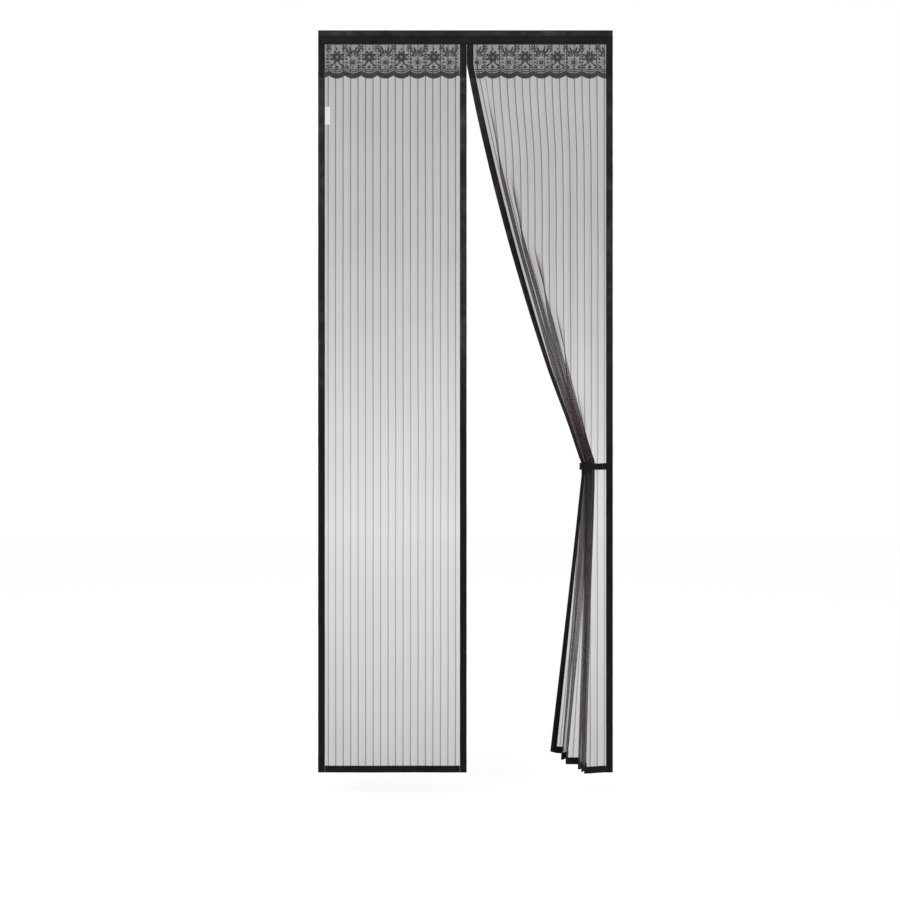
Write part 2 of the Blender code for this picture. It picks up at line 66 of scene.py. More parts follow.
@dataclass(frozen=True)
class Cut:
    """The sizes that the screen is sewn to, in metres.

    They are the part's own, but for the lace's drop and the strap's ease, which
    were read from the photograph again.
    """

    width: float = 0.794
    height: float = 2.000
    meet_x: float = 0.003
    header_h: float = 0.0375
    facing_h: float = 0.0225
    tape_w: float = 0.018
    tape_t: float = 0.0006
    net_t: float = 0.0005
    lace_t: float = 0.0005
    clearance: float = 0.0003
    fasten_t: float = 0.0012
    magnet_t: float = 0.0010
    magnet_slack: float = 0.0007  # before and behind a magnet in its pocket
    magnet_play: float = 0.0010  # beside it
    magnet_w: float = 0.007
    stripe_pitch: float = 0.0202
    stripe_w: float = 0.0026
    lace_tuck: float = 0.008  # held inside the header
    lace_margin: float = 0.0012  # beside the drawn tape
    lace_drop: float = 0.0925  # below the header, to the points of the scallops
    scallop_pitch: float = 0.0435
    scallop_depth: float = 0.0085
    join_drop: float = 0.093  # the panels are sewn together down to here
    flat_drop: float = 0.135  # the gathered net lies flat down to here
    swell_drop: float = 0.220  # and has its full depth this much lower
    tie_drop: float = 1.175
    strap_h: float = 0.018
    strap_t: float = 0.0012
    strap_ease: float = 0.0015  # beside the drawn edge
    strap_lap: float = 0.014  # the strap's end on the right tape
    label_w: float = 0.014
    label_h: float = 0.048
    label_drop: float = 0.206

    @property
    def top_z(self) -> float:
        """Height of the header's fold."""
        return self.header_h / 2

    @property
    def half_w(self) -> float:
        """Half the screen's width."""
        return self.width / 2

    @property
    def panel_w(self) -> float:
        """Width of the drawn panel before it is gathered."""
        return self.half_w - self.meet_x - self.clearance

    @property
    def plain_half(self) -> float:
        """Half the depth of a tape folded over the net."""
        return self.net_t / 2 + self.clearance + self.tape_t

    @property
    def pocket_half(self) -> float:
        """Half the depth of a tape that holds magnets."""
        return self.magnet_t / 2 + self.magnet_slack + self.tape_t

    @property
    def back_y(self) -> float:
        """The back of the sewn cloth, in front of the fastening strips."""
        return -(2 * self.fasten_t + 2 * self.clearance)

    @property
    def net_y(self) -> float:
        """The middle of the flat nets."""
        return self.back_y - self.plain_half

    @property
    def lace_y(self) -> float:
        """The middle of the laces."""
        return self.net_y - self.net_t / 2 - self.clearance - self.lace_t / 2

    @property
    def edge(self) -> float:
        """From a tape's fold to the raw edge of the net in it."""
        return self.tape_t + self.clearance

    @property
    def hung_drop(self) -> float:
        """Where the side tapes start below the top."""
        return self.header_h + self.clearance

    @property
    def hem_drop(self) -> float:
        """Where the hem tapes start below the top."""
        return self.height - self.tape_w


CUT = Cut()


@dataclass(frozen=True)
class Fold:
    """One leg of the gathered net, between two folds.

    group names the legs that let go together below the strap, width is its share
    of the cloth in metres, and let_down is how far it turns from the door's plane
    at the hem, in degrees.
    """

    group: str
    width: float
    let_down: float


# The folds of the part, whose drawn edge holds the magnets.
PLAIN_FOLDS: tuple[Fold, ...] = (
    Fold("lead", 0.0380, 14),
    Fold("inner", 0.0410, 89),
    Fold("inner", 0.0155, 82),
    Fold("inner", 0.0405, 89),
    Fold("front", 0.0350, 10),
    Fold("front", 0.0340, 12),
    Fold("outer", 0.0405, 89),
    Fold("outer", 0.0155, 82),
    Fold("outer", 0.0410, 89),
    Fold("frame", 0.0380, 6),
    Fold("frame", 0.0374, 9),
)
# The folds that show, each second one turned back on the last.
LAPPED_FOLDS: tuple[Fold, ...] = (
    Fold("lead", 0.0380, 14),
    Fold("inner", 0.0340, 106),
    Fold("inner", 0.0300, 60),
    Fold("inner", 0.0340, 106),
    Fold("front", 0.0370, 12),
    Fold("outer", 0.0330, 106),
    Fold("outer", 0.0285, 62),
    Fold("outer", 0.0330, 106),
    Fold("outer", 0.0270, 62),
    Fold("outer", 0.0320, 106),
    Fold("frame", 0.0620, 8),
)
# When each group starts and ends its opening, as shares of the whole gather's.
LET_GO: dict[str, tuple[float, float]] = {
    "lead": (0.05, 0.85),
    "inner": (0.0, 1.0),
    "front": (0.5, 1.0),
    "outer": (0.0, 1.0),
    "frame": (0.0, 0.75),
}


def smooth(t: np.ndarray | float) -> np.ndarray | float:
    """Smooth step from 0 to 1.

    Args:
        t: One value or an array of them.

    Returns:
        The eased value, held at 0 and 1 outside that range.
    """
    t = np.clip(t, 0.0, 1.0)
    return t * t * (3 - 2 * t)


@dataclass
class Drape:
    """The middle surface of the drawn net.

    u runs across the cloth from its drawn edge and v down it from the header. At
    each height the cloth is a path in plan whose turning angle alternates from
    fold to fold, as tight as it takes to reach the drawn edge. The folds lap over
    each other towards the strap, every second one turning back on the last.
    """

    folds: tuple[Fold, ...] = PLAIN_FOLDS
    across: int = 788  # columns
    levels: int = 401  # rows
    lead_at_tie: float = 0.3135  # the drawn edge at the strap, from the middle
    lead_slope: float = 0.19  # how steeply it leaves the seam
    lead_at_hem: float = 0.2202  # and where it ends
    tie_turn: float = 0.010  # half the height over which it turns at the strap
    fold_r: float = 0.0026  # how wide the turn between two legs is
    front_w: float = 0.060  # of the net over which tight folds turn to flat net
    held_w: float = 0.006  # beside the frame's tape, where the net stays flat
    lapped_seen: float = 0.0  # how far every second leg turns back, high up
    lapped_tied: float = 0.0  # and at the strap
    tight_seen: float = 0.12  # share of a leg's width that shows high up
    tight_tied: float = -0.01  # and at the strap
    flat_ripple: float = 0.07  # share of width that the loose net's ripples take
    lead_turn: float = 0.52  # how far the leading leg turns inwards at the strap
    tape_bend: float = 0.002  # past the drawn tape, before the net leaves its path
    near_w: float = 0.060  # of the net that moves across with that tape
    waist: float = 0.32  # share of the depth taken in at the strap
    waist_h: float = 0.130  # how far up and down that reaches

    def __post_init__(self) -> None:
        """Solves the path at every height."""
        self.u = np.linspace(0, CUT.panel_w, self.across)
        self.drop = np.linspace(0, CUT.height, self.levels)
        self.step = self.u[1]
        self.ends = np.cumsum([fold.width for fold in self.folds])
        self.ends *= (CUT.panel_w - CUT.tape_w) / self.ends[-1]
        self.fold = np.searchsorted(self.ends[:-1], self.u)
        sign = np.ones(self.across)
        for end in self.ends[:-1]:
            sign *= -np.tanh((self.u - end) / self.fold_r)
        held = smooth((CUT.panel_w - CUT.tape_w - self.u) / self.held_w)
        self.sign = sign * np.sign(sign[-1]) * held
        self.tied = np.zeros_like(self.u)
        paths = [self.path(drop) for drop in self.drop]
        self.x = np.array([x for x, _ in paths])
        self.y = np.array([y for _, y in paths])
        self.measure()

    def measure(self) -> None:
        """Measures v down every column of the cloth."""
        run = np.hypot(np.diff(self.x, axis=0), np.diff(self.y, axis=0))
        rise = np.hypot(run, self.drop[1])
        self.v = np.vstack([np.zeros(self.across), np.cumsum(rise, axis=0)])

    def follow(self, plain: "Drape") -> None:
        """Brings the drawn edge onto that of another drape, and the folds after it.

        Args:
            plain: The drape whose drawn edge holds the magnets.
        """
        end = int(np.searchsorted(self.u, CUT.tape_w + self.tape_bend))
        near = smooth(1 - (self.u - self.u[end]) / self.near_w)
        far = np.clip((self.ends[-2] - self.u) / (self.ends[-2] - self.u[end]), 0, 1)
        for mine, theirs, share in ((self.x, plain.x, near), (self.y, plain.y, far)):
            mine += (theirs[:, end] - mine[:, end])[:, None] * share
            mine[:, :end] = theirs[:, :end]
        self.measure()

    def lead_x(self, drop: float) -> float:
        """Where the drawn edge hangs at one height.

        Args:
            drop: Metres below the top.

        Returns:
            Its place across the door.
        """
        start = CUT.meet_x + CUT.clearance
        fall = max(drop - CUT.join_drop, 0.0)
        span = CUT.tie_drop - CUT.join_drop
        bend = (self.lead_at_tie - start - self.lead_slope * span) / span**2
        above = start + self.lead_slope * fall + bend * fall**2
        share = (drop - CUT.tie_drop) / (CUT.height - CUT.tie_drop)
        below = self.lead_at_tie + (self.lead_at_hem - self.lead_at_tie) * share
        mix = smooth((drop - CUT.tie_drop + 2 * self.tie_turn) / (4 * self.tie_turn))
        return above * (1 - mix) + below * mix

    def gathered(self, share: float, front: float) -> np.ndarray:
        """Angles above the strap: tight folds as far as front, flatter net beyond.

        Args:
            share: How far down towards the strap, from 0 to 1.
            front: Where in the cloth the tight folds end.

        Returns:
            The turning angle of each leg of the path.
        """
        drawn = smooth((share - 0.55) / 0.45)
        tight = self.tight_seen + (self.tight_tied - self.tight_seen) * drawn
        flat = 1 - self.flat_ripple * smooth(share / 0.3)
        turned = smooth((share - 0.25) / 0.75) ** 1.5
        lead = 1 - 0.10 * smooth(share / 0.5) - self.lead_turn * turned
        eased = smooth((self.u - front) / self.front_w)
        lapped = self.lapped_seen + (self.lapped_tied - self.lapped_seen) * drawn
        lap = lapped * smooth(share / 0.25) * (1 - eased) * np.where(self.fold % 2, -1, 1)
        spread = np.clip(tight + (flat - tight) * eased + lap, -0.985, 1)
        return np.arccos(np.where(self.u < self.ends[0], lead, spread))

    def released(self, share: float) -> np.ndarray:
        """Angles below the strap, where each group of folds opens in its turn.

        Args:
            share: How far the whole gather has opened, from 0 to 1.

        Returns:
            The turning angle of each leg of the path.
        """
        angle = np.zeros_like(self.u)
        for i, fold in enumerate(self.folds):
            first, last = LET_GO[fold.group]
            part = smooth((share - first) / (last - first))
            turned = self.tied * (1 - part) + math.radians(fold.let_down) * part
            angle = np.where(self.fold == i, turned, angle)
        return angle

    def path(self, drop: float) -> tuple[np.ndarray, np.ndarray]:
        """The cloth in plan at one height.

        Args:
            drop: Metres below the top.

        Returns:
            The places across and along the door's depth, for every u.
        """
        wanted = CUT.half_w - self.lead_x(drop)
        span = CUT.tie_drop - CUT.join_drop
        share = float(np.clip((drop - CUT.join_drop) / span, 0, 1))
        above = drop <= CUT.tie_drop
        low, high = (-0.1, CUT.panel_w) if above else (1.0, 0.0)
        for _ in range(34):
            middle = (low + high) / 2
            angle = self.gathered(share, middle) if above else self.released(middle)
            if np.cos(self.sign * angle).sum() * self.step > wanted:
                low = middle
            else:
                high = middle
        if above:
            self.tied = angle
        turn = self.sign * angle
        x = CUT.half_w - self.from_outer(np.cos(turn))
        swell = smooth((drop - CUT.flat_drop) / CUT.swell_drop)
        depth = self.from_outer(np.sin(turn)) * swell
        depth *= 1 - self.waist * math.exp(-(((drop - CUT.tie_drop) / self.waist_h) ** 2))
        lean = smooth((CUT.panel_w - CUT.tape_w - self.u) / (CUT.panel_w / 2))
        behind = np.where(lean > 0.01, -depth / np.maximum(lean, 0.01), 0).max()
        return x, CUT.net_y - depth - max(behind, 0.0) * lean

    def from_outer(self, slope: np.ndarray) -> np.ndarray:
        """Sums a slope from the outer edge inwards, at the middle of each step."""
        total = np.cumsum(slope[::-1])[::-1]
        return (total - slope / 2 - slope[-1] / 2) * self.step

    def at(self, u: Sequence[float] | float, v: Sequence[float] | float) -> np.ndarray:
        """Points on the cloth.

        Args:
            u: Places across the cloth.
            v: Places down the cloth.

        Returns:
            An array (v, u, 3) of points.
        """
        across, down = np.atleast_1d(u), np.atleast_1d(v)
        out = np.zeros((len(down), len(across), 3))
        for j, place in enumerate(across):
            k = min(max(place / self.step, 0), len(self.u) - 1.001)
            i = int(k)
            part = k - i
            length = self.v[:, i] * (1 - part) + self.v[:, i + 1] * part
            drop = np.interp(down, length, self.drop)
            over = down - np.minimum(down, length[-1])
            for axis, grid in ((0, self.x), (1, self.y)):
                column = grid[:, i] * (1 - part) + grid[:, i + 1] * part
                out[:, j, axis] = np.interp(drop, self.drop, column)
            out[:, j, 2] = CUT.top_z - drop - over
        return out

    def normals(self, u: Sequence[float] | float, v: Sequence[float] | float) -> np.ndarray:
        """Unit vectors out of the cloth, towards the front where it lies flat.

        Args:
            u: Places across the cloth.
            v: Places down the cloth.

        Returns:
            An array (v, u, 3) of vectors.
        """
        e = self.step
        across, down = np.atleast_1d(u), np.atleast_1d(v)
        ahead = self.at(np.clip(across + e, 0, CUT.panel_w), down)
        right = ahead - self.at(np.clip(across - e, 0, CUT.panel_w), down)
        lower = self.at(across, np.clip(down + e, 0, CUT.height))
        fall = lower - self.at(across, np.clip(down - e, 0, CUT.height))
        out = np.cross(fall, right)
        return out / np.linalg.norm(out, axis=2, keepdims=True)


class Weave:
    """Builds a node material step by step, in the words of a maker of cloth."""

    def __init__(self, name: str) -> None:
        """Starts a material with one Principled shader.

        Args:
            name: The material's name.
        """
        self.material = bpy.data.materials.new(name)
        self.material.use_nodes = True
        self.tree = self.material.node_tree
        self.shader = self.tree.nodes["Principled BSDF"]

    def link(self, source: Socket, target: Socket) -> None:
        """Joins two sockets."""
        self.tree.links.new(source, target)

    def node(self, kind: str, **values: object) -> bpy.types.Node:
        """Adds a node.

        Args:
            kind: Its type, without the words ShaderNode.
            **values: Properties to set on it.

        Returns:
            The node.
        """
        made = self.tree.nodes.new("ShaderNode" + kind)
        for key, value in values.items():
            setattr(made, key, value)
        return made

    def feed(self, value: object, target: Socket) -> None:
        """Links a socket to another, or sets a plain value on it.

        Args:
            value: A socket, a number or a colour.
            target: The socket that takes it.
        """
        if isinstance(value, Socket):
            self.link(value, target)
        else:
            target.default_value = value

    def math(self, operation: str, a: object, b: object = 0.0, c: object = 0.0) -> Socket:
        """One Math node.

        Args:
            operation: Its operation.
            a: The first value, a socket or a number.
            b: The second.
            c: The third.

        Returns:
            Its result.
        """
        made = self.node("Math", operation=operation)
        for value, target in zip((a, b, c), made.inputs):
            self.feed(value, target)
        return made.outputs[0]

    def ease(self, value: object, low: float, high: float, start: float = 0.0, end: float = 1.0) -> Socket:
        """Maps a value from low..high to start..end with soft ends.

        Args:
            value: The socket to map.
            low: Where it starts.
            high: Where it ends.
            start: The result at low.
            end: The result at high.

        Returns:
            The mapped socket.
        """
        made = self.node("MapRange", interpolation_type="SMOOTHSTEP")
        self.feed(value, made.inputs["Value"])
        for name, number in zip(("From Min", "From Max", "To Min", "To Max"), (low, high, start, end)):
            made.inputs[name].default_value = number
        return made.outputs["Result"]

    def mix(self, share: object, first: Colour, second: object) -> Socket:
        """Mixes two colours.

        Args:
            share: How much of the second shows.
            first: The first colour.
            second: The second colour, or a socket.

        Returns:
            The mixed colour.
        """
        made = self.node("Mix", data_type="RGBA")
        self.feed(share, made.inputs["Factor"])
        for value, name in ((first, "A"), (second, "B")):
            colour = (*value, 1.0) if isinstance(value, tuple) else value
            target = [s for s in made.inputs if s.name == name and s.type == "RGBA"][0]
            self.feed(colour, target)
        return [s for s in made.outputs if s.type == "RGBA"][0]

    def cloth(self) -> tuple[Socket, Socket]:
        """Places across and down the cloth, in metres, from its own UV map."""
        split = self.node("SeparateXYZ")
        self.link(self.node("UVMap", uv_map="cloth").outputs["UV"], split.inputs[0])
        return split.outputs[0], split.outputs[1]

    def place(self) -> Socket:
        """The point in the object's own metres."""
        return self.node("TexCoord").outputs["Object"]

    def height(self) -> Socket:
        """How high the point is."""
        split = self.node("SeparateXYZ")
        self.link(self.place(), split.inputs[0])
        return split.outputs[2]

    def grain(
        self, scale: float, detail: float = 2.0, stretch: tuple[float, float, float] = (1, 1, 1)
    ) -> Socket:
        """Soft noise over the object.

        Args:
            scale: Cells in a metre.
            detail: Octaves.
            stretch: How much finer it is along each axis.

        Returns:
            A value from 0 to 1.
        """
        turned = self.node("Mapping")
        self.link(self.place(), turned.inputs["Vector"])
        turned.inputs["Scale"].default_value = stretch
        made = self.node("TexNoise")
        self.link(turned.outputs[0], made.inputs["Vector"])
        made.inputs["Scale"].default_value = scale
        made.inputs["Detail"].default_value = detail
        return made.outputs[0]

    def threads(self, along: Socket, pitch: float) -> Socket:
        """Threads side by side: 1 on a thread and 0 between, softly.

        Args:
            along: The coordinate that counts them, in metres.
            pitch: From thread to thread.

        Returns:
            The thread's height.
        """
        turn = self.math("SINE", self.math("MULTIPLY", along, 2 * math.pi / pitch))
        return self.math("MULTIPLY_ADD", turn, 0.5, 0.5)

    def tulle(self, across: Socket, down: Socket, pitch: float) -> Socket:
        """Threads that cross both ways on the slant.

        Args:
            across: The coordinate across the cloth.
            down: The coordinate down it.
            pitch: From thread to thread.

        Returns:
            The threads' height.
        """
        one = self.threads(self.math("ADD", across, down), pitch)
        two = self.threads(self.math("SUBTRACT", across, down), pitch)
        return self.math("MAXIMUM", one, two)

    def bump(self, height: Socket, depth: float) -> None:
        """Raises the surface by a height map.

        Args:
            height: The map, from 0 to 1.
            depth: Metres at 1.
        """
        made = self.node("Bump")
        made.inputs["Strength"].default_value = 1.0
        made.inputs["Distance"].default_value = depth
        self.link(height, made.inputs["Height"])
        self.link(made.outputs[0], self.shader.inputs["Normal"])

    def surface(
        self, roughness: object, sheen: float = 0.0, sheen_roughness: float = 0.5, gloss: float = 0.25
    ) -> None:
        """Sets how the cloth takes light.

        Args:
            roughness: A number or a socket.
            sheen: Weight of the soft edge light of fibres.
            sheen_roughness: How wide that light spreads.
            gloss: How strongly it mirrors.
        """
        self.feed(roughness, self.shader.inputs["Roughness"])
        self.shader.inputs["Sheen Weight"].default_value = sheen
        self.shader.inputs["Sheen Roughness"].default_value = sheen_roughness
        self.shader.inputs["Specular IOR Level"].default_value = gloss


class Slot(Enum):
    """The record's material slots of the sewn pieces."""

    TAPE = "tape"
    NET = "net"
    LACE = "lace"
    LABEL = "label"


class Turn(Enum):
    """Which way a straight tape runs."""

    DOWN = "down"
    ACROSS = "across"


@dataclass(frozen=True)
class Finish:
    """A finish of the screen; each kind paints its own nodes."""

    def build(self, name: str) -> Material:
        """Makes the material.

        Args:
            name: Its name.

        Returns:
            The material.
        """
        w = Weave(name)
        self.paint(w)
        return w.material

    def paint(self, w: Weave) -> None:
        """Adds the nodes of the finish."""
        raise NotImplementedError


@dataclass(frozen=True)
class TapeFinish(Finish):
    """Black polyester tape with a fine rib, painted lighter where it hangs high and with painted pucker
    shade and highlights in blotches.
    """

    low: Colour = (0.0046, 0.0044, 0.0049)
    high: Colour = (0.032, 0.030, 0.032)
    rib: float = 0.0013
    fade_from: float = -1.18  # below this height its colour is low, the painted shade of the lower tape
    fade_to: float = -0.72  # and above this one high, the painted light of the upper tape
    over: float = -0.111  # above this height it is top
    top: Colour = (0.0095, 0.0090, 0.0098)

    def paint(self, w: Weave) -> None:
        """Adds the nodes of the finish."""
        across, along = w.cloth()
        rib = w.threads(along, self.rib)
        warp = w.threads(across, self.rib * 0.6)
        blotch = w.grain(38.0, 4.0)
        # Painted light: the tape's colour turns lighter higher up, where the lamps light it more.
        tone = w.mix(w.ease(w.height(), self.fade_from, self.fade_to), self.low, self.high)
        # Painted shade and highlight: broad blotches darken and lighten the tape's colour, as its puckers
        # and gloss would under the lamps.
        wear_and_shade = w.ease(w.grain(7.0, 3.0), 0.35, 0.66, 0.50, 1.25)
        tone = w.mix(w.ease(w.height(), self.over, self.over + 0.005), tone, self.top)
        # Painted shade: the fine blotches darken the colour as the shade of the puckers; they also drive the
        # bump and the roughness.
        lift = w.math("MULTIPLY", w.math("MULTIPLY_ADD", w.ease(blotch, 0.30, 0.72), 1.1, 0.40), wear_and_shade)
        shade = w.math("MULTIPLY", lift, w.math("MULTIPLY_ADD", rib, 0.22, 0.89))
        scaled = w.node("VectorMath", operation="SCALE")
        w.link(tone, scaled.inputs[0])
        w.link(shade, scaled.inputs["Scale"])
        w.link(scaled.outputs[0], w.shader.inputs["Base Color"])
        weave = w.math("ADD", w.math("MULTIPLY", rib, 0.6), w.math("MULTIPLY", warp, 0.4))
        w.bump(w.math("MULTIPLY_ADD", blotch, 1.5, weave), 0.00022)
        w.surface(w.ease(blotch, 0.3, 0.7, 0.50, 0.80), sheen=0.02, sheen_roughness=0.45, gloss=0.14)


@dataclass(frozen=True)
class NetFinish(Finish):
    """Fine black tulle with denser warp stripes; its cover is painted thinner at the middle of its drop as
    painted light, and drifts from stripe to stripe as painted pleat shade.
    """

    thread: Colour = (0.092, 0.056, 0.075)
    # The darker colour below is painted shade, where the net is folded and drawn together at the strap.
    crowded_shade: Colour = (0.030, 0.027, 0.029)
    stripe: Colour = (0.035, 0.030, 0.034)
    mesh: float = 0.0021
    first: float = 0.0262  # the first stripe, from the cloth's edge
    pleat_shade: float = 0.045  # how much the cover drifts from stripe to stripe, a painted pleat shade, lighter beside each stripe and darker before the next
    # Heights, and the share of each that is thread, from the top to the hem. The cover thins towards the
    # middle of the drop as painted light, so the net reads paler there.
    cover: tuple[tuple[float, float], ...] = (
        (0.02, 0.560), (-0.57, 0.490), (-1.06, 0.340), (-1.32, 0.278), (-1.60, 0.358), (-1.98, 0.480),
    )
    stripe_cover: float = 0.36

    def paint(self, w: Weave) -> None:
        """Adds the nodes of the finish."""
        across, down = w.cloth()
        sway = w.math("SUBTRACT", w.grain(2.2, 1.0), 0.5)
        count = w.math("DIVIDE", w.math("SUBTRACT", across, self.first), CUT.stripe_pitch)
        count = w.math("MULTIPLY_ADD", sway, 0.16, count)
        off = w.math("ABSOLUTE", w.math("SUBTRACT", w.math("FRACT", w.math("ADD", count, 0.5)), 0.5))
        half = CUT.stripe_w / CUT.stripe_pitch / 2
        stripe = w.ease(off, half * 0.75, half * 1.5, 1.0, 0.0)
        ladder = w.math("MULTIPLY_ADD", w.threads(down, 0.0032), 0.3, 0.7)
        stripe = w.math("MULTIPLY", stripe, ladder)
        mesh = w.tulle(across, down, self.mesh)
        top, bottom = self.cover[0][0], self.cover[-1][0]
        # Painted light: the cover is thinned by height, so that the net reads paler in the middle of its
        # drop.
        ramp = w.node("ValToRGB")
        steps = ramp.color_ramp.elements
        while len(steps) < len(self.cover):
            steps.new(0.5)
        for step, (height, cover) in zip(steps, self.cover):
            step.position = (top - height) / (top - bottom)
            step.color = (cover, cover, cover, 1.0)
        fall = w.math("DIVIDE", w.math("SUBTRACT", top, w.height()), top - bottom)
        w.link(fall, ramp.inputs[0])
        cloud = w.math("MULTIPLY_ADD", w.grain(7.0, 2.0), 0.06, -0.03)
        cover = w.math("ADD", ramp.outputs[0], cloud)
        cover = w.math("MULTIPLY", cover, w.math("MULTIPLY_ADD", mesh, 0.36, 0.74))
        # Painted shade of pleats: the cover rises from each stripe to the next.
        cover = w.math("MULTIPLY_ADD", w.math("SUBTRACT", w.math("FRACT", count), 0.5), self.pleat_shade, cover)
        cover = w.math("MULTIPLY_ADD", stripe, self.stripe_cover, cover)
        cover = w.math("MINIMUM", cover, 0.97)
        crowd = w.math("MAXIMUM", w.node("Attribute", attribute_name="crowd").outputs["Fac"], 1.0)
        cover = w.math("SUBTRACT", 1.0, w.math("POWER", w.math("SUBTRACT", 1.0, cover), crowd))
        w.link(cover, w.shader.inputs["Alpha"])
        # Where the threads crowd, the colour turns to painted shade, the self-shadow of the folds and of the
        # gathered net at the strap.
        thread = w.mix(w.ease(crowd, 1.15, 1.9), self.thread, self.crowded_shade)
        dark = w.math("MULTIPLY", stripe, 0.9)
        w.link(w.mix(dark, thread, self.stripe), w.shader.inputs["Base Color"])
        w.bump(w.math("MAXIMUM", mesh, stripe), 0.0002)
        w.surface(0.75, sheen=0.05)


@dataclass(frozen=True)
class LaceFinish(Finish):
    """Black lace, either its open ground or the dense threads worked on it."""

    colour: Colour = (0.056, 0.052, 0.058)
    cover: float = 0.47
    mesh: float = 0.0026
    contrast: float = 0.45  # how much of the cover is in its threads

    def paint(self, w: Weave) -> None:
        """Adds the nodes of the finish."""
        across, down = w.cloth()
        mesh = w.tulle(across, down, self.mesh)
        cloud = w.grain(60.0, 2.0)
        low = self.cover * (1 - self.contrast)
        cover = w.math("MULTIPLY_ADD", mesh, self.cover * self.contrast * 1.4, low)
        cover = w.math("MULTIPLY", cover, w.math("MULTIPLY_ADD", cloud, 0.4, 0.8))
        w.link(w.math("MINIMUM", cover, 1.0), w.shader.inputs["Alpha"])
        lit = tuple(c * 1.5 for c in self.colour)
        w.link(w.mix(w.ease(cloud, 0.35, 0.65), self.colour, lit), w.shader.inputs["Base Color"])
        w.bump(mesh, 0.0002)
        w.surface(0.7, sheen=0.08)


@dataclass(frozen=True)
class StripFinish(Finish):
    """Hook or loop strip: short dense fibres over a woven base."""

    colour: Colour = (0.016, 0.016, 0.017)
    cells: float = 900.0  # fibres in a metre
    depth: float = 0.0005
    sheen: float = 0.05

    def paint(self, w: Weave) -> None:
        """Adds the nodes of the finish."""
        pile = w.node("TexVoronoi")
        w.link(w.place(), pile.inputs["Vector"])
        pile.inputs["Scale"].default_value = self.cells
        fibres = w.ease(pile.outputs["Distance"], 0.1, 0.7, 1.0, 0.0)
        lit = tuple(c * 2.2 for c in self.colour)
        w.link(w.mix(fibres, self.colour, lit), w.shader.inputs["Base Color"])
        w.bump(fibres, self.depth)
        w.surface(0.85, sheen=self.sheen)


@dataclass(frozen=True)
class LabelFinish(Finish):
    """Bare white satin ribbon with fine cross threads."""

    colour: Colour = (0.90, 0.90, 0.89)
    shade: Colour = (0.80, 0.80, 0.80)

    def paint(self, w: Weave) -> None:
        """Adds the nodes of the finish."""
        across, down = w.cloth()
        rib = w.threads(down, 0.0007)
        tone = w.math("MULTIPLY", rib, w.ease(w.grain(120.0), 0.3, 0.7, 0.2, 0.7))
        w.link(w.mix(tone, self.colour, self.shade), w.shader.inputs["Base Color"])
        w.bump(w.math("MAXIMUM", rib, w.threads(across, 0.0005)), 0.00005)
        w.surface(0.42, sheen=0.1)


@dataclass(frozen=True)
class MagnetFinish(Finish):
    """Nickel-plated bar with fine rubbing marks."""

    colour: Colour = (0.42, 0.42, 0.43)
    wear_and_shade: Colour = (0.30, 0.29, 0.29)

    def paint(self, w: Weave) -> None:
        """Adds the nodes of the finish."""
        marks = w.grain(140.0, 4.0, (1.0, 1.0, 12.0))
        w.link(w.mix(w.ease(marks, 0.4, 0.6), self.colour, self.wear_and_shade), w.shader.inputs["Base Color"])
        w.shader.inputs["Metallic"].default_value = 1.0
        w.feed(w.ease(marks, 0.3, 0.7, 0.25, 0.45), w.shader.inputs["Roughness"])


class Finishes:
    """The finishes that the sewn pieces share, each made once."""

    def __init__(self) -> None:
        """Makes the materials."""
        self.tape = TapeFinish().build("black_tape")
        self.fold = TapeFinish(top=(0.030, 0.029, 0.031)).build("black_header_tape")
        self.facing = TapeFinish(top=(0.0080, 0.0076, 0.0084)).build("black_facing_tape")
        # The stitches' thread is painted lighter higher up too: painted light from above.
        thread = TapeFinish(low=(0.016, 0.016, 0.017), high=(0.045, 0.043, 0.046), rib=0.0004)
        self.thread = thread.build("black_thread")
        self.left_net = NetFinish().build("black_net_flat")
        self.right_net = NetFinish(first=0.0280).build("black_net_drawn")
        self.ground = LaceFinish().build("lace_ground")
        worked = LaceFinish(colour=(0.040, 0.035, 0.039), cover=0.86, mesh=0.0012, contrast=0.15)
        self.worked = worked.build("lace_work")
        self.label = LabelFinish().build("white_label_satin")


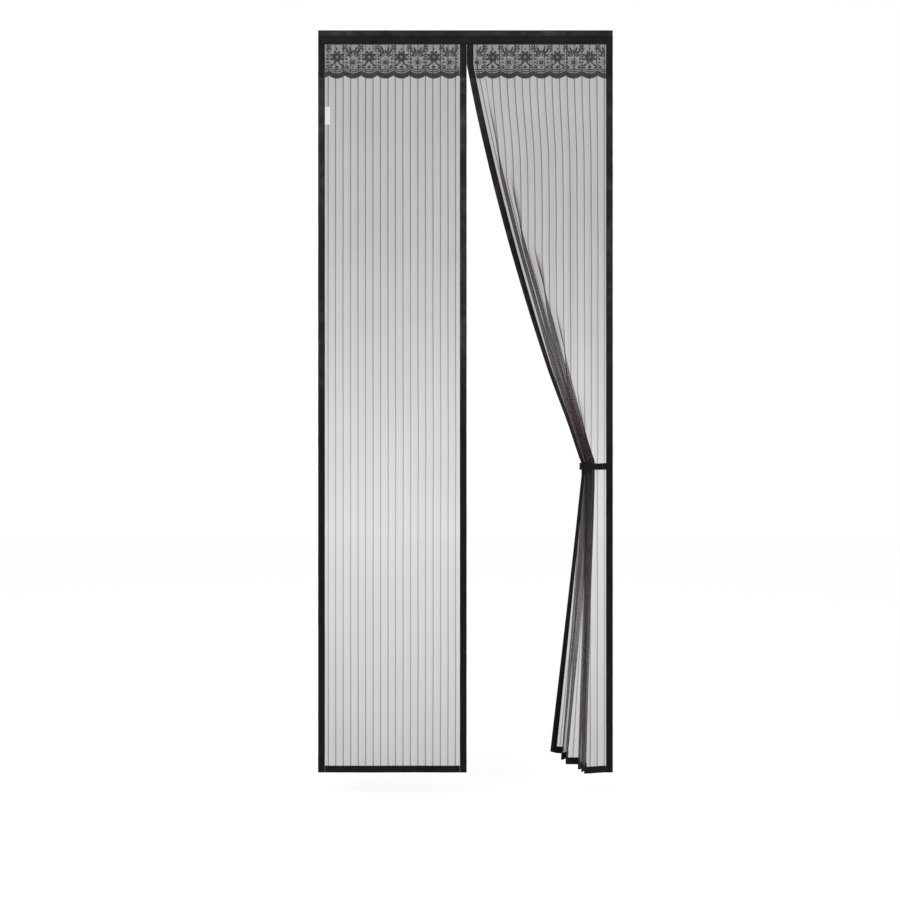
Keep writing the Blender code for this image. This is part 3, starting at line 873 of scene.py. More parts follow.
class Bench:
    """Modelling by hand: what each step of the work does to the active mesh."""

    @staticmethod
    def clear() -> None:
        """Goes to object mode with nothing selected."""
        if bpy.context.mode != "OBJECT":
            bpy.ops.object.mode_set(mode="OBJECT")
        bpy.ops.object.select_all(action="DESELECT")

    @staticmethod
    def plane(name: str, middle: Vector, width: float, height: float) -> Piece:
        """A sheet that faces the front.

        Args:
            name: The piece's name.
            middle: Its middle.
            width: Its size across the door.
            height: Its size up the door.

        Returns:
            The new object, with its place in its mesh.
        """
        Bench.clear()
        bpy.ops.mesh.primitive_plane_add(size=1.0, location=middle, rotation=(math.pi / 2, 0, 0))
        made = bpy.context.object
        made.name = made.data.name = name
        made.scale = (width, height, 1.0)
        bpy.ops.object.transform_apply(location=True, rotation=True, scale=True)
        return made

    @staticmethod
    def lean(edge: bmesh.types.BMEdge) -> Vector:
        """The direction of an edge."""
        return (edge.verts[1].co - edge.verts[0].co).normalized()

    @staticmethod
    def on(edge: bmesh.types.BMEdge, axis: int, place: float) -> bool:
        """Whether both ends of an edge lie at a place on an axis."""
        return all(abs(vertex.co[axis] - place) < NEAR for vertex in edge.verts)

    @staticmethod
    def select(made: Piece, kind: str, wanted: Chosen) -> None:
        """Selects vertices or edges in edit mode.

        Args:
            made: The object in edit mode.
            kind: "verts" or "edges".
            wanted: Says of each whether to select it.
        """
        shape = bmesh.from_edit_mesh(made.data)
        for part in (shape.verts, shape.edges, shape.faces):
            for item in part:
                item.select = False
        for item in getattr(shape, kind):
            if wanted(item):
                item.select_set(True)
        if kind == "verts":
            shape.select_flush(True)
        bmesh.update_edit_mesh(made.data)

    @staticmethod
    def cut(made: Piece, axis: int, number: int) -> None:
        """Cuts every edge that runs along one axis.

        Args:
            made: The object in edit mode.
            axis: 0 or 2, for X or Z.
            number: Cuts in each edge.
        """
        Bench.select(made, "edges", lambda edge: abs(Bench.lean(edge)[axis]) > 0.9)
        bpy.ops.mesh.subdivide(number_cuts=number)

    @staticmethod
    def extrude(step: Vector) -> None:
        """Draws the selected edges out by one step."""
        bpy.ops.mesh.extrude_region_move(TRANSFORM_OT_translate={"value": tuple(step)})

    @staticmethod
    def apply(made: Piece) -> None:
        """Applies every modifier of a piece.

        Args:
            made: The piece.
        """
        Bench.clear()
        made.select_set(True)
        bpy.context.view_layer.objects.active = made
        for modifier in list(made.modifiers):
            bpy.ops.object.modifier_apply(modifier=modifier.name)
        made.select_set(False)

    @staticmethod
    def wall(made: Piece, thickness: float, round_off: float, outwards: bool = False) -> None:
        """Gives a sheet its thickness, soft edges and smooth faces.

        Args:
            made: The sheet.
            thickness: Metres, half to each side.
            round_off: Width of the bevel on its edges.
            outwards: Whether its faces are turned outwards afterwards.
        """
        solid = made.modifiers.new("cloth", "SOLIDIFY")
        solid.thickness = thickness
        solid.offset = 0.0
        edge = made.modifiers.new("soft_edge", "BEVEL")
        edge.width = round_off
        edge.segments = 2
        edge.limit_method = "ANGLE"
        edge.angle_limit = math.radians(50)
        Bench.apply(made)
        if outwards:
            Bench.outwards(made)
        Bench.smooth_faces(made)

    @staticmethod
    def outwards(made: Piece) -> None:
        """Turns every face of a closed piece outwards.

        Args:
            made: The piece.
        """
        shape = bmesh.new()
        shape.from_mesh(made.data)
        bmesh.ops.recalc_face_normals(shape, faces=shape.faces)
        shape.to_mesh(made.data)
        shape.free()

    @staticmethod
    def smooth_faces(made: Piece, angle: float = 50.0) -> None:
        """Shades a piece smooth but for its sharp edges.

        Args:
            made: The piece.
            angle: Degrees from which an edge is sharp.
        """
        Bench.clear()
        made.select_set(True)
        bpy.context.view_layer.objects.active = made
        bpy.ops.object.shade_smooth_by_angle(angle=math.radians(angle))
        made.select_set(False)


def lay_uv(made: Piece, place: Callable[[Vector], tuple[float, float]]) -> None:
    """Writes the piece's own cloth coordinates, in metres.

    Args:
        made: The piece.
        place: Gives (across, along) for a vertex's point.
    """
    layer = made.data.uv_layers.get("cloth") or made.data.uv_layers.new(name="cloth")
    points = [place(vertex.co) for vertex in made.data.vertices]
    for loop in made.data.loops:
        layer.data[loop.index].uv = points[loop.vertex_index]
    made.data.uv_layers.active = layer


def dress(made: Piece, material: Material, slot: Slot, *nodes: str) -> None:
    """Gives a piece its finish and its body, and hides the nodes that it stands for.

    Args:
        made: The piece.
        material: Its finish.
        slot: The record's slot of that finish; not used.
        *nodes: The CAD nodes that it stands for.
    """
    made.data.materials.clear()
    made.data.materials.append(material)
    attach(made, "root")
    if nodes:
        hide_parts(*nodes)
    LOG.info("%s: %d faces", made.name, len(made.data.polygons))


def from_points(name: str, points: Sequence, faces: Sequence, uv: Sequence, closed: bool = False) -> Piece:
    """A piece from points and faces.

    Args:
        name: Its name.
        points: Its points.
        faces: The faces between them.
        uv: Each point's place on the cloth, in metres.
        closed: Whether it is solid, with faces to turn outwards.

    Returns:
        The new object.
    """
    mesh = bpy.data.meshes.new(name)
    mesh.from_pydata(points, [], faces)
    made = bpy.data.objects.new(name, mesh)
    bpy.context.scene.collection.objects.link(made)
    if closed:
        Bench.outwards(made)
    layer = mesh.uv_layers.new(name="cloth")
    for loop in mesh.loops:
        layer.data[loop.index].uv = uv[loop.vertex_index]
    return made


def from_grid(name: str, points: np.ndarray, uv: np.ndarray) -> Piece:
    """A smooth sheet from rows of points.

    Args:
        name: Its name.
        points: An array (rows, columns, 3).
        uv: An array (rows, columns, 2) in metres.

    Returns:
        The new object.
    """
    rows, columns = points.shape[:2]
    faces = []
    for i in range(rows - 1):
        for j in range(columns - 1):
            k = i * columns + j
            faces.append((k, k + columns, k + columns + 1, k + 1))
    made = from_points(name, points.reshape(-1, 3).tolist(), faces, uv.reshape(-1, 2))
    made.data.polygons.foreach_set("use_smooth", [True] * len(faces))
    return made


@dataclass
class Seam:
    """Running stitches of black thread along a line."""

    length: float = 0.0030
    pitch: float = 0.0046
    wide: float = 0.0007
    high: float = 0.00035
    inset: float = 0.0017  # from a tape's open edge
    lift: float = 0.0002  # off the tape

    def __post_init__(self) -> None:
        """Models one stitch, a short rounded bar that lies along X."""
        Bench.clear()
        bpy.ops.mesh.primitive_cube_add(size=1.0)
        stitch = bpy.context.object
        stitch.scale = (self.length, self.high, self.wide)
        bpy.ops.object.transform_apply(scale=True)
        bpy.ops.object.mode_set(mode="EDIT")
        for end in (-1, 1):
            Bench.select(stitch, "verts", lambda vertex: vertex.co.x * end > 0)
            bpy.ops.transform.resize(value=(1, 0.55, 0.6))
        bpy.ops.object.mode_set(mode="OBJECT")
        self.points = np.array([tuple(vertex.co) for vertex in stitch.data.vertices])
        self.faces = [tuple(face.vertices) for face in stitch.data.polygons]
        bpy.data.objects.remove(stitch)

    def sew(self, name: str, line: np.ndarray, out: np.ndarray | None = None) -> Piece:
        """Copies the stitch along a line.

        Args:
            name: The piece's name.
            line: Points along the seam, an array (n, 3).
            out: The cloth's direction outwards at each, an array (n, 3). Without it
                the cloth faces the front.

        Returns:
            One piece with every stitch of the seam.
        """
        if out is None:
            out = np.tile([0.0, -1.0, 0.0], (len(line), 1))
        run = np.append(0.0, np.cumsum(np.linalg.norm(np.diff(line, axis=0), axis=1)))
        count = int(run[-1] / self.pitch)
        points, faces, places = [], [], []
        for i in range(count):
            at = (i + 0.5) * run[-1] / count
            middle, away = self.place(at, run, line), self.place(at, run, out)
            along = self.place(at + 0.001, run, line) - self.place(at - 0.001, run, line)
            along /= np.linalg.norm(along)
            side = np.cross(along, away)
            side /= np.linalg.norm(side)
            away = np.cross(side, along)
            base = len(points)
            for x, y, z in self.points:
                points.append(middle + along * x - away * y + side * z)
                places.append((z, at + x))
            faces += [tuple(base + k for k in face) for face in self.faces]
        return from_points(name, [tuple(p) for p in points], faces, places, closed=True)

    @staticmethod
    def place(at: float, run: np.ndarray, values: np.ndarray) -> np.ndarray:
        """The vector at one place along a line."""
        return np.array([np.interp(at, run, values[:, k]) for k in range(3)])


@dataclass
class FoldedTape:
    """A straight tape folded over an edge of the cloth.

    fold_at is the place of its fold and towards is 1 or -1, the way to its open
    edges: across the door for a tape that runs down, and up or down the door for
    one that runs across. start and end are its ends, half is half its depth, and
    creases are the heights of the seams that cross it.
    """

    name: str
    turn: Turn
    fold_at: float
    towards: int
    start: float
    end: float
    half: float
    creases: tuple[float, ...] = ()
    pucker: float = 0.0007
    dent: float = 0.0011  # how deep a cross seam pulls the tape in
    dent_h: float = 0.0032  # and how long it is
    wander: float = 0.00035  # of its edges
    row: float = 0.0075  # from one row of the mesh to the next
    width: float = CUT.tape_w

    def build(self) -> Piece:
        """Extrudes the front wall over the fold and back, then puckers it.

        Returns:
            The finished piece.
        """
        inset = self.half - CUT.tape_t / 2
        down = self.turn is Turn.DOWN
        middle_in = self.fold_at + self.towards * self.width / 2
        middle_run = (self.start + self.end) / 2
        length = abs(self.end - self.start)
        place = (middle_in, middle_run) if down else (middle_run, middle_in)
        size = (self.width, length) if down else (length, self.width)
        made = Bench.plane(self.name, Vector((place[0], CUT.net_y - inset, place[1])), *size)
        bpy.ops.object.mode_set(mode="EDIT")
        axis = 0 if down else 2
        Bench.select(made, "edges", lambda edge: Bench.on(edge, axis, self.fold_at))
        Bench.extrude(Vector((0, 2 * inset, 0)))
        back = Vector((0, 0, 0))
        back[axis] = self.towards * self.width
        Bench.extrude(back)
        Bench.cut(made, 2 - axis, min(int(length / self.row), 400))
        Bench.cut(made, axis, 3)
        bpy.ops.object.mode_set(mode="OBJECT")
        for vertex in made.data.vertices:
            self.relax(vertex, axis)
        Bench.wall(made, CUT.tape_t, 0.00018)
        lay_uv(made, lambda point: (abs(point[axis] - self.fold_at), point[2 - axis]))
        return made

    def relax(self, vertex: bpy.types.MeshVertex, axis: int) -> None:
        """Puckers the sewn tape and dents it at its cross seams.

        Args:
            vertex: One vertex of the sheet.
            axis: The axis across the tape.
        """
        co = vertex.co
        run = co[2 - axis]
        inward = abs(co[axis] - self.fold_at) / self.width
        front = co.y < CUT.net_y
        bulge = math.sin(math.pi * min(inward / 0.85, 1.0))
        wave = noise.noise(Vector((co[axis] * 60, 3.7 if front else 9.1, run * 42)))
        wave += 0.5 * noise.noise(Vector((co[axis] * 150, run * 120, 5.0)))
        push = self.pucker * (0.35 + 0.65 * wave) * bulge
        for crease in self.creases:
            push -= self.dent * math.exp(-(((run - crease) / self.dent_h) ** 2)) * bulge
        co.y += -push if front else 0.25 * push
        co[axis] += self.towards * self.wander * noise.noise(Vector((run * 26, 1.3, self.fold_at * 7)))

    def seam(self, sewing: Seam) -> Piece:
        """The row of stitches that holds the tape's open edges.

        Args:
            sewing: The stitch to copy.

        Returns:
            The stitches as one piece.
        """
        rows = np.linspace(self.start, self.end, 60)
        across = self.fold_at + self.towards * (self.width - sewing.inset)
        front = CUT.net_y - self.half - sewing.lift / 2
        line = np.full((len(rows), 3), front)
        axis = 0 if self.turn is Turn.DOWN else 2
        line[:, axis], line[:, 2 - axis] = across, rows
        return sewing.sew(self.name + "_stitches", line)

    def make(self, node: str, finishes: Finishes, sewing: Seam) -> None:
        """Builds and dresses the tape and its seam.

        Args:
            node: The CAD node that the tape stands for.
            finishes: The screen's finishes.
            sewing: The stitch to copy.
        """
        dress(self.build(), finishes.tape, Slot.TAPE, node)
        dress(self.seam(sewing), finishes.thread, Slot.TAPE)


def drop_z(drop: float) -> float:
    """Height of a place that far below the top."""
    return CUT.top_z - drop


@dataclass
class Header:
    """The wide tape folded over both panels' tops, and the facing sewn on it."""

    wrinkle: float = 0.0012  # of the band's upper half
    ripple: float = 0.0004  # of the whole band and its fold
    bulge: float = 0.0009  # of the facing between its seams
    wander: float = 0.0005  # of the facing's edges

    @property
    def front(self) -> float:
        """The front of the folded tape."""
        return CUT.lace_y - CUT.lace_t / 2 - CUT.clearance - CUT.tape_t

    def make(self, finishes: Finishes, sewing: Seam) -> None:
        """Builds and dresses both tapes and their seams.

        Args:
            finishes: The screen's finishes.
            sewing: The stitch to copy.
        """
        band, facing = self.band(), self.facing()
        dress(band, finishes.fold, Slot.TAPE, "header_band")
        dress(facing, finishes.facing, Slot.TAPE, "header_facing")
        for row in self.seams(sewing):
            dress(row, finishes.thread, Slot.TAPE)

    def band(self) -> Piece:
        """The folded tape, with the short slanting wrinkles along its upper half.

        Returns:
            The tape.
        """
        near = self.front + CUT.tape_t / 2
        depth = CUT.back_y - CUT.tape_t / 2 - near
        made = Bench.plane("header_fold", Vector((0, near, 0)), CUT.width, CUT.header_h)
        bpy.ops.object.mode_set(mode="EDIT")
        Bench.select(made, "edges", lambda edge: Bench.on(edge, 2, CUT.top_z))
        Bench.extrude(Vector((0, depth, 0)))
        Bench.extrude(Vector((0, 0, -CUT.header_h)))
        Bench.cut(made, 0, 240)
        Bench.cut(made, 2, 13)
        bpy.ops.object.mode_set(mode="OBJECT")
        for vertex in made.data.vertices:
            self.crumple(vertex, near)
        Bench.wall(made, CUT.tape_t, 0.0002)
        lay_uv(made, lambda point: (point.z, point.x))
        return made

    def crumple(self, vertex: bpy.types.MeshVertex, near: float) -> None:
        """Moves one vertex of the band into its wrinkles and wavy fold.

        Args:
            vertex: The vertex.
            near: Where the front wall lies.
        """
        co = vertex.co
        below = CUT.top_z - co.z
        front = abs(co.y - near) < NEAR
        upper = float(smooth(below / 0.002) * smooth((0.0145 - below) / 0.004))
        slant = co.x * 95 + co.z * 75
        ridge = noise.noise(Vector((slant, 0.0, co.x * 6)))
        patch = smooth(noise.noise(Vector((co.x * 9, 4.0, 0))) * 2 + 0.6)
        if front:
            co.y -= self.wrinkle * (0.5 + ridge) * upper * float(patch)
            fine = noise.noise(Vector((co.x * 30, 1.0, co.z * 80)))
            co.y -= self.ripple * fine * float(smooth(below / 0.004))
        sag = abs(noise.noise(Vector((co.x * 14, 2.0, 0))))
        co.z -= self.ripple * sag * float(smooth((0.006 - below) / 0.006))

    def facing(self) -> Piece:
        """The second tape along the header's lower edge.

        Returns:
            The tape.
        """
        near = self.front - CUT.clearance - CUT.tape_t / 2
        low = CUT.top_z - CUT.header_h
        middle = Vector((0, near, low + CUT.facing_h / 2))
        made = Bench.plane("header_facing_tape", middle, CUT.width, CUT.facing_h)
        bpy.ops.object.mode_set(mode="EDIT")
        Bench.cut(made, 0, 200)
        Bench.cut(made, 2, 5)
        bpy.ops.object.mode_set(mode="OBJECT")
        for vertex in made.data.vertices:
            co = vertex.co
            up = (co.z - low) / CUT.facing_h
            bow = math.sin(math.pi * up)
            co.y -= self.bulge * bow * (0.5 + noise.noise(Vector((co.x * 24, 7.0, co.z * 50))))
            co.z += self.wander * noise.noise(Vector((co.x * 11, 3.0, 0)))
        Bench.wall(made, CUT.tape_t, 0.0002)
        lay_uv(made, lambda point: (point.z, point.x))
        return made

    def seams(self, sewing: Seam) -> list[Piece]:
        """Two rows of stitches along the facing.

        Args:
            sewing: The stitch to copy.

        Returns:
            One piece for each row.
        """
        near = self.front - CUT.clearance - CUT.tape_t - sewing.lift
        low = CUT.top_z - CUT.header_h
        x = np.linspace(-CUT.half_w + 0.002, CUT.half_w - 0.002, 80)
        rows = []
        for name, z in (("upper", low + CUT.facing_h - sewing.inset), ("lower", low + sewing.inset)):
            line = np.stack([x, np.full_like(x, near), np.full_like(x, z)], axis=1)
            rows.append(sewing.sew(f"facing_{name}_stitches", line))
        return rows


@dataclass
class FlatPanel:
    """The left panel, which hangs flat between its four tapes."""

    outer_creases: tuple[float, ...] = (-0.109, -0.304, -0.579, -0.889, -1.140)
    meeting_creases: tuple[float, ...] = (-0.095, -0.304, -0.385, -0.592, -0.870, -1.154, -1.383)
    billow: float = 0.0016  # of the net between its tapes

    def make(self, finishes: Finishes, sewing: Seam) -> None:
        """Builds and dresses the net, its tapes and the label.

        Args:
            finishes: The screen's finishes.
            sewing: The stitch to copy.
        """
        dress(self.net(), finishes.left_net, Slot.NET, "left_net")
        nodes = ("left_outer_binding", "left_meeting_binding", "left_hem_binding")
        for tape, node in zip(self.tapes(), nodes):
            tape.make(node, finishes, sewing)
        dress(self.label(), finishes.label, Slot.LABEL, "label")

    def tapes(self) -> list[FoldedTape]:
        """The two side tapes and the hem.

        Returns:
            The tapes, not built yet.
        """
        top, low = drop_z(CUT.hung_drop), drop_z(CUT.height)
        left = -CUT.half_w
        hem = (left + CUT.tape_w + CUT.clearance, CUT.meet_x - CUT.tape_w - CUT.clearance)
        outer = (left, 1, low, top, CUT.plain_half, self.outer_creases)
        meeting = (CUT.meet_x, -1, low, top, CUT.pocket_half, self.meeting_creases)
        return [
            FoldedTape("left_outer_tape", Turn.DOWN, *outer),
            FoldedTape("left_meeting_tape", Turn.DOWN, *meeting),
            FoldedTape("left_hem_tape", Turn.ACROSS, low, 1, *hem, CUT.plain_half),
        ]

    def net(self) -> Piece:
        """The flat net, with the faint waves that its stripes show.

        Returns:
            The cloth.
        """
        left = -CUT.half_w + CUT.edge
        right = CUT.meet_x - CUT.tape_t - 2 * CUT.magnet_play - CUT.magnet_w
        x = np.linspace(left, right, 110)
        drop = np.linspace(CUT.edge, CUT.height - CUT.edge, 330)
        points = np.zeros((len(drop), len(x), 3))
        uv = np.zeros((len(drop), len(x), 2))
        for i, fall in enumerate(drop):
            free = smooth((fall - CUT.flat_drop) / 0.1) * smooth((CUT.hem_drop - fall) / 0.05)
            for j, across in enumerate(x):
                beside = smooth((across - left - CUT.tape_w) / 0.04)
                beside *= smooth((right - 0.01 - across) / 0.04)
                wave = noise.noise(Vector((across * 11, fall * 2.2, 0.7)))
                wave += 0.4 * noise.noise(Vector((across * 34, fall * 5.0, 3.1)))
                push = self.billow * (0.5 + wave) * free * beside
                points[i, j] = (across, CUT.net_y - push, drop_z(fall))
                uv[i, j] = (across - left, fall)
        return from_grid("left_net_cloth", points, uv)

    def label(self) -> Piece:
        """The bare label sewn in beside the outer tape.

        Returns:
            The label, its free corners curled a little.
        """
        thickness = CUT.clearance
        x = -CUT.half_w + CUT.tape_w + CUT.clearance + CUT.label_w / 2
        y = CUT.net_y - CUT.net_t / 2 - 3 * CUT.clearance - thickness / 2
        z = drop_z(CUT.label_drop + CUT.label_h / 2)
        made = Bench.plane("label_ribbon", Vector((x, y, z)), CUT.label_w, CUT.label_h)
        bpy.ops.object.mode_set(mode="EDIT")
        Bench.select(made, "edges", lambda edge: True)
        bpy.ops.mesh.subdivide(number_cuts=11)
        bpy.ops.object.mode_set(mode="OBJECT")
        for vertex in made.data.vertices:
            out = (vertex.co.x - x) / CUT.label_w + 0.5
            up = abs(vertex.co.z - z) / CUT.label_h * 2
            vertex.co.y -= 0.0011 * out**2 * (0.35 + up**2)
        Bench.wall(made, thickness, 0.00008)
        lay_uv(made, lambda point: (point.x, point.z))
        return made


@dataclass
class DrawnPanel:
    """The right panel: its net in folds, and the tapes that follow them."""

    drape: Drape
    frame_creases: tuple[float, ...] = (-0.109, -0.174, -0.282, -0.358, -0.579, -0.889)
    streak: float = 0.0009  # along the folds
    pucker: float = 0.0005
    least_lean: float = 0.16  # limits how much a leaning net darkens
    bunch: float = 0.8  # how much denser the net is at the strap, which also darkens its colour with painted shade
    bunch_above: float = 0.22  # how far up that reaches
    bunch_below: float = 0.42  # and how far down

    def make(self, finishes: Finishes, sewing: Seam) -> None:
        """Builds and dresses the net and its tapes.

        Args:
            finishes: The screen's finishes.
            sewing: The stitch to copy.
        """
        dress(self.net(), finishes.right_net, Slot.NET, "right_net")
        dress(self.leading(), finishes.tape, Slot.TAPE, "right_leading_binding")
        dress(self.leading_seam(sewing), finishes.thread, Slot.TAPE)
        dress(self.hem(), finishes.tape, Slot.TAPE, "right_hem_binding")
        self.outer().make("right_outer_binding", finishes, sewing)

    def net(self) -> Piece:
        """The gathered net, with fine streaks along its folds.

        Returns:
            The cloth.
        """
        first = CUT.tape_t + 2 * CUT.magnet_play + CUT.magnet_w
        u = np.linspace(first, CUT.panel_w - CUT.edge, 260)
        v = np.linspace(CUT.edge, CUT.height - CUT.edge, 330)
        points = self.drape.at(u, v)
        out = self.drape.normals(u, v)
        uv = np.zeros((len(v), len(u), 2))
        for i, down in enumerate(v):
            free = float(smooth((down - CUT.flat_drop) / 0.15) * smooth((CUT.hem_drop - down) / 0.03))
            for j, across in enumerate(u):
                inner = smooth((across - CUT.tape_w) / 0.01)
                inner *= smooth((CUT.panel_w - CUT.tape_w - across) / 0.01)
                wave = noise.noise(Vector((across * 210, down * 5.5, 0.4)))
                points[i, j] += out[i, j] * self.streak * wave * free * float(inner)
                uv[i, j] = (across, down)
        made = from_grid("right_net_cloth", points, uv)
        self.crowd(made, u, points, out)
        return made

    def crowd(self, made: Piece, u: np.ndarray, points: np.ndarray, out: np.ndarray) -> None:
        """Marks how closely the threads crowd, where the net leans away or is gathered at the strap; the
        net's colour darkens with it as painted shade.

        Args:
            made: The net.
            u: The columns' places across the cloth.
            points: Its points, as an array (v, u, 3).
            out: The cloth's normals at those points.
        """
        lean = 1 / np.maximum(np.abs(out[:, :, 1]), self.least_lean)
        fall = CUT.top_z - points[:, :, 2] - CUT.tie_drop
        above = smooth(1 + fall / self.bunch_above)
        below = smooth(1 - fall / self.bunch_below)
        ends = self.drape.ends
        inner = smooth((u - ends[0]) / 0.004 + 1) * smooth((ends[-2] - u) / 0.004 + 1)
        bunch = 1 + self.bunch * np.where(fall < 0, above, below) * inner
        attribute = made.data.attributes.new("crowd", "FLOAT", "POINT")
        attribute.data.foreach_set("value", (lean * bunch).ravel())

    def profile(self, half: float) -> list[tuple[float, float]]:
        """A folded tape's section.

        Args:
            half: Half the depth of the tape.

        Returns:
            Its points, as places from the fold and heights off the cloth.
        """
        side = half - CUT.tape_t / 2
        walls = [share * CUT.tape_w for share in (1.0, 0.75, 0.5, 0.25)]
        front = [(place, side) for place in walls] + [(CUT.tape_t, side)]
        fold = [(0.0, side * 0.45), (0.0, -side * 0.45)]
        return front + fold + [(place, -height) for place, height in reversed(front)]

    def leading(self) -> Piece:
        """The drawn edge's tape, which holds the magnets.

        Returns:
            The tape, folded over the cloth all the way down.
        """
        section = self.profile(CUT.pocket_half)
        v = np.linspace(CUT.hung_drop, CUT.height, 300)
        u = [place for place, _ in section]
        middle, out = self.drape.at(u, v), self.drape.normals(u, v)
        points, uv = middle.copy(), np.zeros((len(v), len(u), 2))
        for i, down in enumerate(v):
            for j, (place, height) in enumerate(section):
                bulge = math.sin(math.pi * min(place / CUT.tape_w, 1.0))
                wave = noise.noise(Vector((place * 60, down * 45, 2.0 if height > 0 else 8.0)))
                lift = height + math.copysign(self.pucker, height) * wave * bulge
                points[i, j] = middle[i, j] + out[i, j] * lift
                uv[i, j] = (place, down)
        made = from_grid("right_leading_tape", points, uv)
        Bench.wall(made, CUT.tape_t * 0.9, 0.00015, outwards=True)
        return made

    def hem(self) -> Piece:
        """The hem's tape, which follows the folds across.

        Returns:
            The tape.
        """
        section = self.profile(CUT.plain_half)
        u = np.linspace(CUT.tape_w + CUT.clearance, CUT.panel_w - CUT.tape_w - CUT.clearance, 240)
        v = [CUT.height - place for place, _ in section]
        middle, out = self.drape.at(u, v), self.drape.normals(u, v)
        points = np.zeros((len(u), len(section), 3))
        uv = np.zeros((len(u), len(section), 2))
        for j, (place, height) in enumerate(section):
            points[:, j] = middle[j] + out[j] * height
            uv[:, j, 0] = place
            uv[:, j, 1] = u
        made = from_grid("right_hem_tape", points, uv)
        Bench.wall(made, CUT.tape_t * 0.9, 0.00015, outwards=True)
        return made

    def outer(self) -> FoldedTape:
        """The tape beside the door frame, not built yet."""
        low, top = drop_z(CUT.height), drop_z(CUT.hung_drop)
        sizes = (CUT.half_w, -1, low, top, CUT.plain_half, self.frame_creases)
        return FoldedTape("right_outer_tape", Turn.DOWN, *sizes)

    def leading_seam(self, sewing: Seam) -> Piece:
        """Stitches along the inner edge of the drawn tape.

        Args:
            sewing: The stitch to copy.

        Returns:
            The stitches as one piece.
        """
        v = np.linspace(CUT.hung_drop + 0.003, CUT.height - 0.003, 220)
        u = [CUT.tape_w - sewing.inset]
        out = self.drape.normals(u, v)[:, 0]
        line = self.drape.at(u, v)[:, 0] + out * (CUT.pocket_half + sewing.lift)
        return sewing.sew("right_leading_stitches", line, out)


class Motif(Enum):
    """The two ornaments that take turns over the scallops."""

    FLOWER = "flower"
    SPRAY = "spray"


